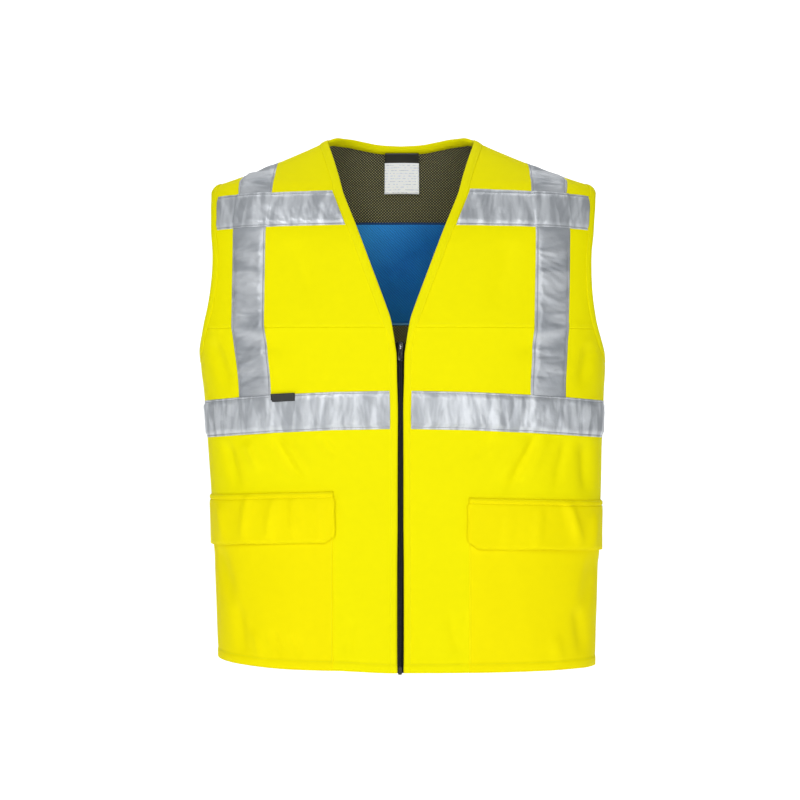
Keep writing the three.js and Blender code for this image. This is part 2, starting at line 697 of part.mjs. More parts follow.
// Patch pockets with flaps: the flap is sewn to the panel above the pocket mouth and hangs over it

const pocketColumns = columnsBetween(FRONT_COLUMNS, POCKET, SIDE);
const pocketRows = rowsBetween(SKIRT_ROWS, ROW.hem, ROW.pocket_mouth);
onBothFronts("pocket", pocketColumns, pocketRows, () => onCloth(POCKET_WALL), "yellow");

const flapRows = rowsBetween(SKIRT_ROWS, ROW.flap_foot, ROW.flap_top);
function flapLayer(column, row) {
  if (row >= ROW.flap_top) return onCloth(FLAP_WALL);
  const hang = (ROW.pocket_mouth - row) / (ROW.pocket_mouth - ROW.flap_foot);
  const corner = ease(column, BRACE_OUT, SIDE) + 0.25 * ease(column, POCKET + 1, POCKET);
  const lift = 2 * LAYER_GAP + POCKET_WALL + FLAP_FLARE * hang * (0.2 + corner);
  return [lift, lift + FLAP_WALL];
}
onBothFronts("flap", pocketColumns, flapRows, flapLayer, "yellow");

// Bindings: folded strips that hold the cut edges of the neck and the armholes between two legs

// Stations along an edge, each with the edge's direction and the way into the cloth.
function stationsAlong(spots, stack, closed, intoSign) {
  return spots.map(({ place, normal }, k) => {
    const count = spots.length;
    const next = spots[closed ? (k + 1) % count : Math.min(k + 1, count - 1)].place;
    const last = spots[closed ? (k + count - 1) % count : Math.max(k - 1, 0)].place;
    const along = next.clone().sub(last).normalize();
    const into = normal.clone().cross(along).normalize().multiplyScalar(intoSign);
    return { place, normal, into, stack: stack[k] };
  });
}

function binding(stations, closed) {
  const points = [];
  const reach = LAYER_GAP + BINDING_WALL;
  for (const { place, normal, into, stack } of stations) {
    const legEnd = seatBesideFold(place, into);
    const legNormal = outward(mirrorSafe(legEnd)).setX(Math.sign(legEnd.x || 1) * outward(mirrorSafe(legEnd)).x);
    const at = (base, facing, lift, out) =>
      base.clone().addScaledVector(facing, lift).addScaledVector(into, -out);
    points.push(
      at(legEnd, legNormal, reach + BINDING_LIFT, 0),
      at(place, normal, reach, reach),
      at(place, normal, -stack - reach, reach),
      at(legEnd, legNormal, -stack - reach - BINDING_SLACK, 0),
      at(legEnd, legNormal, -stack - LAYER_GAP - BINDING_SLACK, 0),
      at(place, normal, -stack - LAYER_GAP, LAYER_GAP),
      at(place, normal, LAYER_GAP, LAYER_GAP),
      at(legEnd, legNormal, LAYER_GAP + BINDING_LIFT, 0),
    );
  }
  const ring = 8;
  const indices = [];
  const links = closed ? stations.length : stations.length - 1;
  for (let k = 0; k < links; k++) {
    const here = k * ring;
    const there = ((k + 1) % stations.length) * ring;
    for (let m = 0; m < ring; m++) {
      const n = (m + 1) % ring;
      const [a, b, c, d] = [here + m, here + n, there + n, there + m];
      if (m === 2 || m === 6) quad(indices, b, c, d, a);
      else quad(indices, a, b, c, d);
    }
  }
  if (!closed) {
    for (const [start, turned] of [[0, true], [(stations.length - 1) * ring, false]]) {
      const cap = [];
      for (let m = 0; m < 3; m++) quad(cap, start + m, start + m + 1, start + 6 - m, start + 7 - m);
      indices.push(...(turned ? flipped(cap) : cap));
    }
  }
  return closedShape(points, indices);
}

const mirrorSafe = (p) => vector(Math.abs(p.x), p.y, p.z);

// The end of a binding's leg: one binding width into the cloth, on the body's surface.
function seatBesideFold(place, into) {
  const end = place.clone().addScaledVector(into, BINDING_WIDTH);
  const seated = seat(mirrorSafe(end));
  return seated.setX(Math.sign(end.x || 1) * seated.x);
}

const BACK_STACK = -LINING_IN;

const neckRows = [rowAt(V_DEPTH - ZIP_TOP_RISE - 1), ...rowsBetween(allFrontRows, 7.4, SHOULDER - 0.01)];
const neckColumns = columnsBetween(BACK_COLUMNS, -1, 1);
const neckSpots = [
  ...neckRows.map((r) => spot(FRONT, -1e-9, r)),
  ...neckColumns.map((c) => spot(BACK, c, SHOULDER)),
  ...[...neckRows].reverse().map((r) => spot(FRONT, 1e-9, r)),
];
const neckStack = neckSpots.map((_, k) =>
  k < neckRows.length || k >= neckRows.length + neckColumns.length ? CLOTH_WALL : BACK_STACK,
);
add("neck_binding", binding(stationsAlong(neckSpots, neckStack, false, 1), false), "yellow");

const armholeFrontRows = rowsBetween(allFrontRows, ROW.armhole_foot + 0.01, SHOULDER - 0.01);
const armholeBackRows = rowsBetween(BACK_ROWS, ROW.armhole_foot + 0.01, SHOULDER - 0.01);
for (const [word, side] of [["left", LEFT], ["right", RIGHT]]) {
  const end = side * SIDE;
  const onSeam = (row) => {
    const { place, normal } = spot(BACK, end, row);
    return { place: place.setY(0), normal };
  };
  const spots = [
    onSeam(ROW.armhole_foot),
    ...armholeFrontRows.map((r) => spot(FRONT, end, r)),
    onSeam(SHOULDER),
    ...[...armholeBackRows].reverse().map((r) => spot(BACK, end, r)),
  ];
  const stack = spots.map((_, k) => (k > 0 && k <= armholeFrontRows.length ? CLOTH_WALL : BACK_STACK));
  add(`armhole_binding_${word}`, binding(stationsAlong(spots, stack, true, side), true), "yellow");
}

// Zip: tapes under the front edges, the closed coil between them, slider, pull and bottom stop

const frontLine = (x, z) => {
  const place = across(FRONT, Math.abs(x), z);
  const normal = outward(place);
  return { place: place.setX(x), normal: normal.setX(Math.sign(x) * Math.abs(normal.x)) };
};
const SLIDER_TOP = -(V_DEPTH - ZIP_TOP_RISE);
const stopTop = -(VEST_LENGTH + STOP_DROP - STOP_LENGTH);
const coilTop = SLIDER_TOP - SLIDER_POST - 2 * LAYER_GAP;
const coilBend = -V_DEPTH - PULL_LENGTH / 2;
const zipRows = rowsBetween(SKIRT_ROWS, ROW.hem_stitch, ROW.waist_top);
const zipHeights = zipRows.map((r) => -rowDown(r, 0));
const coilHeights = [stopTop + LAYER_GAP, ...zipHeights.slice(1), coilBend, coilTop];
const coilGrid = [-COIL_WIDTH / 2, COIL_WIDTH / 2].map((x) => coilHeights.map((z) => frontLine(x, z)));
add("zip_coil", cloth(coilGrid, () => [-COIL_RECESS - COIL_WALL, -COIL_RECESS]), "zipper");

const ZIP_TAPE_OUT = -(CLOTH_WALL + LAYER_GAP);
for (const [word, side] of [["left", LEFT], ["right", RIGHT]]) {
  const inner = COIL_WIDTH / 2 + LAYER_GAP;
  const heights = [-VEST_LENGTH, ...zipHeights, coilBend, SLIDER_TOP];
  const grid = [inner, inner + ZIP_TAPE_WIDTH].map((x) => heights.map((z) => frontLine(side * x, z)));
  add(`zip_tape_${word}`, cloth(grid, () => [ZIP_TAPE_OUT - MESH_WALL, ZIP_TAPE_OUT]), "zipper");
}

// A manifold solid from a three.js geometry, for the joined slider.
function solidOf(geometry) {
  const bare = geometry.clone();
  bare.deleteAttribute("normal");
  bare.deleteAttribute("uv");
  const merged = mergeVertices(bare.index ? bare.toNonIndexed() : bare, 1e-4);
  return new wasm.Manifold(
    new wasm.Mesh({
      numProp: 3,
      vertProperties: merged.attributes.position.array,
      triVerts: new Uint32Array(merged.index.array),
    }),
  );
}

function geometryOf(solid) {
  const mesh = solid.getMesh();
  const geometry = new THREE.BufferGeometry();
  geometry.setAttribute("position", new THREE.BufferAttribute(mesh.vertProperties, 3));
  geometry.setIndex(new THREE.BufferAttribute(mesh.triVerts, 1));
  return geometry;
}

// A plate cut to an outline drawn in X and Z, reaching from one height over the coil to another.
function plate(outline, low, high) {
  const geometry = new THREE.ExtrudeGeometry(outline, {
    depth: high - low,
    bevelEnabled: false,
    curveSegments: 4,
  });
  return geometry.rotateX(Math.PI / 2).translate(0, -low, 0);
}

const zipFace = frontLine(0, SLIDER_TOP - SLIDER_LENGTH / 2).place.y + COIL_RECESS;
const hingeHeight = LAYER_GAP + SLIDER_PLATE + BRIDGE_CLEAR / 2;

function sliderOutline(width, length) {
  const half = width / 2;
  const shape = new THREE.Shape();
  shape.moveTo(-half * 0.75, -length);
  shape.lineTo(half * 0.75, -length);
  shape.quadraticCurveTo(half, -length * 0.7, half, -length * 0.35);
  shape.quadraticCurveTo(half, 0, half * 0.5, 0);
  shape.lineTo(-half * 0.5, 0);
  shape.quadraticCurveTo(-half, 0, -half, -length * 0.35);
  shape.quadraticCurveTo(-half, -length * 0.7, -half * 0.75, -length);
  return shape;
}

// The bridge that carries the pull: an arch along the zip, standing on the front plate.
function bridge() {
  const half = BRIDGE_LENGTH / 2;
  const top = BRIDGE_CLEAR + BRIDGE_WALL;
  const sunk = SLIDER_PLATE / 2;
  const shape = new THREE.Shape();
  shape.moveTo(-half, -sunk);
  shape.lineTo(-half, top * 0.6);
  shape.quadraticCurveTo(-half, top, -half * 0.4, top);
  shape.lineTo(half * 0.4, top);
  shape.quadraticCurveTo(half, top, half, top * 0.6);
  shape.lineTo(half, -sunk);
  shape.lineTo(half - BRIDGE_WALL, -sunk);
  shape.lineTo(half - BRIDGE_WALL, BRIDGE_CLEAR);
  shape.lineTo(BRIDGE_WALL - half, BRIDGE_CLEAR);
  shape.lineTo(BRIDGE_WALL - half, -sunk);
  const geometry = new THREE.ExtrudeGeometry(shape, {
    depth: BRIDGE_WIDTH,
    bevelEnabled: false,
    curveSegments: 3,
  });
  geometry.translate(0, 0, -BRIDGE_WIDTH / 2);
  const upright = new THREE.Matrix4().makeBasis(vector(0, 0, 1), vector(0, -1, 0), vector(1, 0, 0));
  return geometry.applyMatrix4(upright).translate(0, -(LAYER_GAP + SLIDER_PLATE), -SLIDER_LENGTH / 2);
}

function slider() {
  const behind = -(COIL_WALL + COIL_RECESS + LAYER_GAP);
  const tapeBack = ZIP_TAPE_OUT - MESH_WALL + COIL_RECESS - LAYER_GAP;
  const backFace = Math.min(behind, tapeBack);
  const front = plate(sliderOutline(SLIDER_WIDTH, SLIDER_LENGTH), LAYER_GAP, LAYER_GAP + SLIDER_PLATE);
  const back = plate(sliderOutline(SLIDER_WIDTH, SLIDER_LENGTH), backFace - SLIDER_PLATE * 0.7, backFace);
  const postDepth = LAYER_GAP - backFace + SLIDER_PLATE;
  const post = new THREE.BoxGeometry(SLIDER_POST, postDepth, SLIDER_POST).translate(
    0,
    (SLIDER_PLATE * 0.5 - LAYER_GAP - backFace - SLIDER_PLATE * 0.5) / 2,
    -SLIDER_POST / 2 - LAYER_GAP / 2,
  );
  return geometryOf([back, post, bridge()].reduce((sum, piece) => sum.add(solidOf(piece)), solidOf(front)));
}

const zipGroup = new THREE.Group();
zipGroup.position.set(0, zipFace, SLIDER_TOP);
vest.add(zipGroup);
const sliderMesh = add("zip_slider", slider(), "zipper");
zipGroup.add(sliderMesh);

// The pull: an eye round the bridge, a narrow neck and a rounded end. It turns about the bar of its eye.
function pullOutline() {
  const half = PULL_WIDTH / 2;
  const bar = PULL_WALL / 2;
  const foot = bar - PULL_LENGTH;
  const eyeFoot = -bar - PULL_EYE_LENGTH;
  const shape = new THREE.Shape();
  shape.moveTo(-half * 0.85, bar);
  shape.lineTo(-half * 0.85, eyeFoot);
  shape.quadraticCurveTo(-half * 0.8, eyeFoot - 2, -half * 0.7, eyeFoot - 3);
  shape.absarc(0, foot + half, half, Math.PI, 2 * Math.PI, false);
  shape.lineTo(half * 0.7, eyeFoot - 3);
  shape.quadraticCurveTo(half * 0.8, eyeFoot - 2, half * 0.85, eyeFoot);
  shape.lineTo(half * 0.85, bar);
  return shape;
}

const eyeWidth = BRIDGE_WIDTH + 2 * PULL_EYE_CLEAR;
const eye = new THREE.BoxGeometry(eyeWidth, 2 * PULL_WALL, PULL_EYE_LENGTH).translate(
  0,
  0,
  -PULL_WALL / 2 - PULL_EYE_LENGTH / 2,
);
const pullPlate = solidOf(plate(pullOutline(), -PULL_WALL / 2, PULL_WALL / 2));
const pullGeometry = geometryOf(pullPlate.subtract(solidOf(eye)));
const pullMesh = add("zip_pull", pullGeometry, "zipper");
pullMesh.position.set(0, -hingeHeight, -SLIDER_LENGTH / 2);
zipGroup.add(pullMesh);

// The bottom stop, a small moulded box that reaches just below the hem.
const stopDepth = COIL_WALL + 2 * LAYER_GAP;
const stopFace = frontLine(0, stopTop).place.y;
const stopGeometry = new THREE.BoxGeometry(COIL_WIDTH, stopDepth, STOP_LENGTH).translate(
  0,
  stopFace + COIL_RECESS - LAYER_GAP + stopDepth / 2,
  stopTop - STOP_LENGTH / 2,
);
add("zip_stop", stopGeometry, "zipper");

// Neck label: hangs inside the back from under the binding

const labelTop = 5;
const labelXs = [-0.5, -0.17, 0.17, 0.5].map((share) => LABEL_SHIFT + share * LABEL_WIDTH);
const labelDowns = [0, 0.34, 0.67, 1];
const labelGrid = labelXs.map((x) =>
  labelDowns.map((share) => {
    const place = across(BACK, Math.abs(x), -(labelTop + share * LABEL_HEIGHT));
    const normal = outward(place);
    return { place: place.setX(x), normal: normal.setX(Math.sign(x) * Math.abs(normal.x)) };
  }),
);
const labelLayer = () => {
  const lift = LINING_IN - BINDING_WALL - 2 * LAYER_GAP - LABEL_STAND_OFF;
  return [lift - LABEL_WALL, lift];
};
add("neck_label", cloth(labelGrid, labelLayer), "label");

// Side tab, sewn over the top edge of the right waist tape next to the brace

const tabRows = [0, 1].map((share) => rowAt(WAIST_TAPE_TOP + TAB_HEIGHT * share - 2));
const tabInner = BRACE - 0.08;
const tabOuter = tabInner - TAB_WIDTH / ((BRACE_HALF_SPAN - POCKET_INSET) * 1.05);
const tabColumns = [tabOuter, BRACE - 1 / 3, tabInner].map((c) => -c);
const tabLayer = () => tapeOver(onCloth(TAB_WALL)).map((lift) => lift + 4 * LAYER_GAP);
add("side_tab", cloth(gridOf(FRONT, tabColumns, tabRows), tabLayer), "tab");

export default vest;
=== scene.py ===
import math
import bmesh
import bpy
import numpy as np
from mathutils import Matrix, Vector


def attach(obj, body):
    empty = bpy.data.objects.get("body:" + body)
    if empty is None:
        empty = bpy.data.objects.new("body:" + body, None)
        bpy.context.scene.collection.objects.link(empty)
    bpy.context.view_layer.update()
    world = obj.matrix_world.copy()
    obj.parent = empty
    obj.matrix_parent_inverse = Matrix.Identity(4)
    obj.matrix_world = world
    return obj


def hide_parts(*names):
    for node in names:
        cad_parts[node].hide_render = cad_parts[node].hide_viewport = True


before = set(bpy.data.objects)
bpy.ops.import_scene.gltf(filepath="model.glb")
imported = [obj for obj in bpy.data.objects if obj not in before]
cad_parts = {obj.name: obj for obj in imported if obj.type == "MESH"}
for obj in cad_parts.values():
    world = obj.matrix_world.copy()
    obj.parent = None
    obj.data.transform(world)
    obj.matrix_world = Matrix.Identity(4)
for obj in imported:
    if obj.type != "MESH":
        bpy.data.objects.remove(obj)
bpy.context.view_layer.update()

# The camera stands level in front of the vest, three metres from its side seams.
camera = bpy.data.objects.new("camera", bpy.data.cameras.new("camera"))
bpy.context.collection.objects.link(camera)
camera.location = (-0.0007, -3.0, -0.368)
camera.rotation_euler = (math.pi / 2, 0, 0)
camera.data.lens = 95.07
camera.data.sensor_width = 36
bpy.context.scene.camera = camera
bpy.context.scene.view_settings.view_transform = "Standard"

# Back panel: one piece of smooth hi-vis polyester from the hem to the shoulder seams, 1.2 mm thick with
# its turnings. The body's form is worked out here, because every other cloth piece is cut to it.
FRONT, BACK = -1, 1
SECTIONS = np.array([
    (-0.0106, 0.0878, 0.0223, 0.0622, 2.00),
    (0.0000, 0.1040, 0.0314, 0.0700, 2.00),
    (0.0099, 0.1242, 0.0393, 0.0762, 2.00),
    (0.0198, 0.1469, 0.0459, 0.0810, 2.00),
    (0.0330, 0.1785, 0.0550, 0.0875, 2.02),
    (0.0462, 0.2109, 0.0642, 0.0930, 2.05),
    (0.0561, 0.2401, 0.0707, 0.0970, 2.07),
    (0.0660, 0.2660, 0.0773, 0.1005, 2.20),
    (0.0781, 0.2761, 0.0845, 0.1046, 2.34),
    (0.1031, 0.2801, 0.0989, 0.1110, 2.54),
    (0.1334, 0.2821, 0.1124, 0.1157, 2.58),
    (0.1604, 0.2838, 0.1189, 0.1190, 2.50),
    (0.2176, 0.2864, 0.1260, 0.1220, 2.46),
    (0.2682, 0.2870, 0.1305, 0.1215, 2.42),
    (0.3201, 0.2864, 0.1310, 0.1190, 2.40),
    (0.3538, 0.2836, 0.1310, 0.1175, 2.40),
    (0.4219, 0.2795, 0.1296, 0.1155, 2.40),
    (0.5243, 0.2749, 0.1280, 0.1150, 2.40),
    (0.5931, 0.2704, 0.1275, 0.1155, 2.40),
    (0.6611, 0.2675, 0.1271, 0.1160, 2.40),
    (0.7400, 0.2655, 0.1260, 0.1170, 2.40),
])
V_EDGE = np.array([
    (0, 0.1040), (0.0411, 0.0942), (0.0811, 0.0810), (0.1311, 0.0614), (0.1909, 0.0389),
    (0.2401, 0.0206), (0.2569, 0.0148), (0.2691, 0.0118), (0.2850, 0.0085), (0.2960, 0.0068),
])
ZIP_EDGE = np.array([
    (0.2960, 0.0068), (0.3062, 0.0054), (0.3382, 0.0048), (0.3870, 0.0036), (0.4532, 0.0039),
    (0.5349, 0.0040), (0.6001, 0.0046), (0.7000, 0.0046), (0.7400, 0.0042),
])
BRACE_LINE = np.array([
    (0, 0.1796), (0.0814, 0.1821), (0.1406, 0.1871), (0.2516, 0.1871), (0.3552, 0.1796), (0.740, 0.1782),
])
BACK_NECKLINE = np.array([
    (0, -0.0006), (0.0281, 0.0005), (0.0562, 0.0042), (0.0728, 0.0060), (0.0884, 0.0057), (0.104, 0),
])
# How far both sides of the worn vest stand towards the wearer's left, by the depth below the neck.
WORN_LEAN = np.array([
    (0.07, 0.0049), (0.12, 0.0035), (0.19, 0.0021), (0.26, 0.0000), (0.29, 0.0014), (0.32, 0.0035),
    (0.36, 0.0050), (0.44, 0.0063), (0.51, 0.0078), (0.60, 0.0085), (0.74, 0.0092),
])
NECK_WIDE, TIP_WIDE, TAPE_WIDE, BIND_WIDE = 0.104, 0.266, 0.050, 0.0125
# Rows of the cloth from the hem up to the shoulder seam: how far down each but the last lies at the middle
# and at the side, and about how long the cloth is from each to the next. Row 2 is the flap's foot, 4 its top,
# 6 the waist tape's top and 7 the armhole's foot.
HEM_SEW, MOUTH, WAIST_FOOT, SEAM, CHEST_FOOT, CHEST_TOP, SHOULDER = 1, 3, 5, 8, 9, 10, 11
ROW_MIDDLE = np.array([740, 728, 569.1, 514.1, 499.1, 407.4, 355.6, 296, 269.1, 128, 80]) / 1000
ROW_SIDE = np.array([740, 728, 579.1, 523.1, 508.1, 421.0, 369.4, 306, 269, 132.5, 85.0]) / 1000
ROW_SPANS = (0.012, 0.16, 0.055, 0.015, 0.09, 0.05, 0.065, 0.035, 0.14, 0.048, 0.09)
# Columns from the middle out to the side, and about how far each lies from the next over the back.
POCKET, BRACE, BRACE_OUT, SIDE = 2, 3, 4, 6
BACK_SPANS = (0.115, 0.045, 0.045, 0.052, 0.08, 0.013)
COLUMNS = {
    FRONT: ("edge", "facing", "pocket", "brace", "brace_out", "trim", "side"),
    BACK: ("centre", "neck", "neck_brace", "brace", "brace_out", "trim", "side"),
}


def smooth_curve(table, at):
    """One column of a table against its first, without overshoot."""
    xs, ys = table[:, 0], table[:, 1]
    slopes = np.diff(ys) / np.diff(xs)
    tangents = np.concatenate([slopes[:1], np.zeros(len(xs) - 2), slopes[-1:]])
    same = slopes[:-1] * slopes[1:] > 0
    sums = np.where(same, slopes[:-1] + slopes[1:], 1)
    tangents[1:-1] = np.where(same, 2 * slopes[:-1] * slopes[1:] / sums, 0)
    inside = np.clip(at, xs[0], xs[-1])
    k = np.clip(np.searchsorted(xs, inside, side="right") - 1, 0, len(xs) - 2)
    span = xs[k + 1] - xs[k]
    t = (inside - xs[k]) / span
    rise = (3 - 2 * t) * t * t
    bend = (t - 1) ** 2 * t * span * tangents[k] + (t - 1) * t * t * span * tangents[k + 1]
    beyond = np.where(at < xs[0], tangents[0], tangents[-1]) * (at - inside)
    return ys[k] * (1 - rise) + ys[k + 1] * rise + bend + beyond


DOWN = np.linspace(-0.03, 0.76, 3161)
PROFILE = [smooth_curve(SECTIONS[:, [0, k]], DOWN) for k in (1, 2, 3, 4)]


def section(z):
    return [np.interp(-z, DOWN, values) for values in PROFILE]


def ease(value, low, high):
    share = np.clip((value - low) / (high - low), 0, 1)
    return share * share * (3 - 2 * share)


def lerp(a, b, share):
    return a + (b - a) * share


def point(x, y, z):
    return np.stack(np.broadcast_arrays(x, y, z), -1).astype(float)


def fullness(p):
    half, front, back, power = section(p[..., 2])
    depth = np.where(p[..., 1] < 0, front, back)
    return (np.abs(p[..., 0]) / half) ** power + (np.abs(p[..., 1]) / depth) ** power


def gradient(p):
    half, front, back, power = section(p[..., 2])
    depth = np.where(p[..., 1] < 0, front, back)
    slope = np.empty_like(p)
    for axis, reach in ((0, half), (1, depth)):
        out = np.abs(p[..., axis]) / reach
        slope[..., axis] = power * np.sign(p[..., axis]) * out ** (power - 1) / reach
    slope[..., 2] = (fullness(p + [0, 0, 5e-5]) - fullness(p - [0, 0, 5e-5])) / 1e-4
    return slope


def seat(p):
    """The nearest place on the body's surface."""
    for _ in range(4):
        slope = gradient(p)
        p = p + slope * ((1 - fullness(p)) / np.sum(slope * slope, -1))[..., None]
    return p


def unit(v):
    return v / np.linalg.norm(v, axis=-1, keepdims=True)


def across(face, x, z):
    half, front, back, power = section(z)
    left = np.clip(1 - (np.abs(x) / half) ** power, 0, None) ** (1 / power)
    return point(x, face * (front if face == FRONT else back) * left, z)


def aside(face, y, z):
    half, front, back, power = section(z)
    left = np.clip(1 - (np.abs(y) / (front if face == FRONT else back)) ** power, 0, None) ** (1 / power)
    return point(half * left, face * np.abs(y), z)


def beside(face, start, distance):
    """From a place on a section, another at a straight distance, towards the side or the middle."""
    half, front, back, power = section(start[..., 2])
    depth = front if face == FRONT else back

    def turn(angle):
        wide = half * np.sin(angle) ** (2 / power)
        return point(wide, face * depth * np.cos(angle) ** (2 / power), start[..., 2])

    near = np.arcsin(np.clip(start[..., 0] / half, 0, 1) ** (power / 2))
    far = np.where(distance > 0, math.pi / 2, 0) * np.ones_like(near)
    for _ in range(40):
        middle = (near + far) / 2
        short = np.linalg.norm(turn(middle) - start, axis=-1) < np.abs(distance)
        near = np.where(short, middle, near)
        far = np.where(short, far, middle)
    return turn(near)


def edge_at(z):
    return np.where(-z < 0.296, smooth_curve(V_EDGE, -z), smooth_curve(ZIP_EDGE, -z))


def armhole_at(angle):
    return 0.062 * np.cos(angle) * (1 - 0.12 * np.sin(angle)), -0.186 + 0.12 * np.sin(angle)


def armhole_angle(z):
    return np.arcsin(np.clip((z + 0.186) / 0.12, -1, 1))


def side_point(face, z):
    return aside(face, np.where(z > -0.306, armhole_at(armhole_angle(z))[0], 0), z)


def crossing(face, name, z):
    """Where a named column crosses a level, on the wearer's left half."""
    brace = across(face, smooth_curve(BRACE_LINE, -z), z)
    if name == "edge":
        return across(face, edge_at(z), z)
    if name == "facing":
        return beside(face, across(face, edge_at(z), z), BIND_WIDE)
    if name == "pocket":
        chest = (edge_at(z) + brace[..., 0]) / 2
        return across(face, lerp(0.092, chest, ease(-z, 0.3594, 0.1198)), z)
    if name in ("centre", "neck"):
        return across(face, np.where(name == "neck", NECK_WIDE, 0) + 0 * z, z)
    if name == "neck_brace":
        return across(face, (NECK_WIDE + brace[..., 0]) / 2, z)
    if name == "brace":
        return brace
    if name == "brace_out":
        return beside(face, brace, TAPE_WIDE)
    side = side_point(face, z)
    if name == "side":
        return side
    run = np.linalg.norm(side_point(face, z + 0.001) - side_point(face, z - 0.001), axis=-1)
    leaning = (z >= -0.186) & (z <= -0.066)
    steep = np.where(leaning, np.clip(0.002 / run, 0.5, None), 1)
    return beside(face, side, -BIND_WIDE / steep)


def row_down(row, share):
    middle = np.interp(row, np.arange(11), ROW_MIDDLE)
    side = np.interp(row, np.arange(11), ROW_SIDE)
    return lerp(middle, side, share * share)


def top_point(face, name):
    outs = {
        "edge": NECK_WIDE, "facing": NECK_WIDE + BIND_WIDE, "pocket": 0.142, "neck": NECK_WIDE,
        "neck_brace": 0.142, "brace": 0.180, "brace_out": 0.230, "trim": 0.255, "side": TIP_WIDE,
    }
    if name == "centre":
        return across(face, 0.0, BACK_NECKLINE[0, 1])
    x = outs[name]
    return np.array([x, 0.0, -np.interp(x, PROFILE[0][:400], DOWN[:400])])


def on_column(face, column, rows):
    name = COLUMNS[face][column]
    low = np.minimum(rows, CHEST_TOP)
    place = crossing(face, name, -row_down(low, 0.5))
    for _ in range(6):
        share = np.clip(place[..., 0] / section(place[..., 2])[0], 0, 1)
        place = crossing(face, name, -row_down(low, share))
    rise = np.maximum(rows - CHEST_TOP, 0)
    if name == "side":
        y, z = armhole_at(lerp(armhole_angle(place[..., 2]), math.pi / 2, rise))
        high = seat(aside(face, np.maximum(y, 1e-5), z))
    else:
        high = seat(lerp(place, top_point(face, name), np.minimum(rise, 0.999)[..., None]))
    return np.where((rise > 0)[..., None], high, place)


def surface(face, columns, rows):
    """Places and normals of the cloth over a grid of columns and rows. Right-hand columns are negative."""
    columns, rows = np.asarray(columns, float), np.asarray(rows, float)
    lines = [on_column(face, k, rows) for k in range(7)]
    size = np.abs(columns)
    low = np.clip(np.floor(size).astype(int), 0, SIDE - 1)
    share = (size - low)[:, None, None]
    every = np.array(lines)
    place = seat(lerp(every[low], every[low + 1], share))
    if face == BACK and (size < 1).any() and rows.max() > CHEST_TOP:
        inner = np.where(size < 1)[0]
        turned = size[inner] * math.pi / 2
        x = NECK_WIDE * np.sin(turned)
        neckline = across(BACK, x, smooth_curve(BACK_NECKLINE, x))
        start = on_column(BACK, 0, np.array([10.0])), on_column(BACK, 1, np.array([10.0]))
        base = seat(lerp(start[0], start[1], size[inner][:, None]))
        for j in np.where(rows > CHEST_TOP)[0]:
            rise = rows[j] - CHEST_TOP
            spot = lerp(base, neckline, rise)
            place[inner, j] = spot if rise >= 1 else seat(spot)
    place[..., 1] = face * np.maximum(0.0002, face * place[..., 1])
    normal = unit(gradient(place))
    hand = np.where(columns < 0, -1, 1)[:, None]
    place[..., 0] *= hand
    normal[..., 0] *= hand
    return place, normal


def lattice(u, v, seed):
    """Smooth noise from -1 to 1, one hill to a unit."""
    rng = np.random.default_rng(seed)
    values = rng.uniform(-1, 1, (64, 64))
    iu, iv = np.floor(u).astype(int), np.floor(v).astype(int)
    fu, fv = ease(u - iu, 0, 1), ease(v - iv, 0, 1)
    pick = lambda a, b: values[(iu + a) % 64, (iv + b) % 64]
    return lerp(lerp(pick(0, 0), pick(1, 0), fu), lerp(pick(0, 1), pick(1, 1), fu), fv)


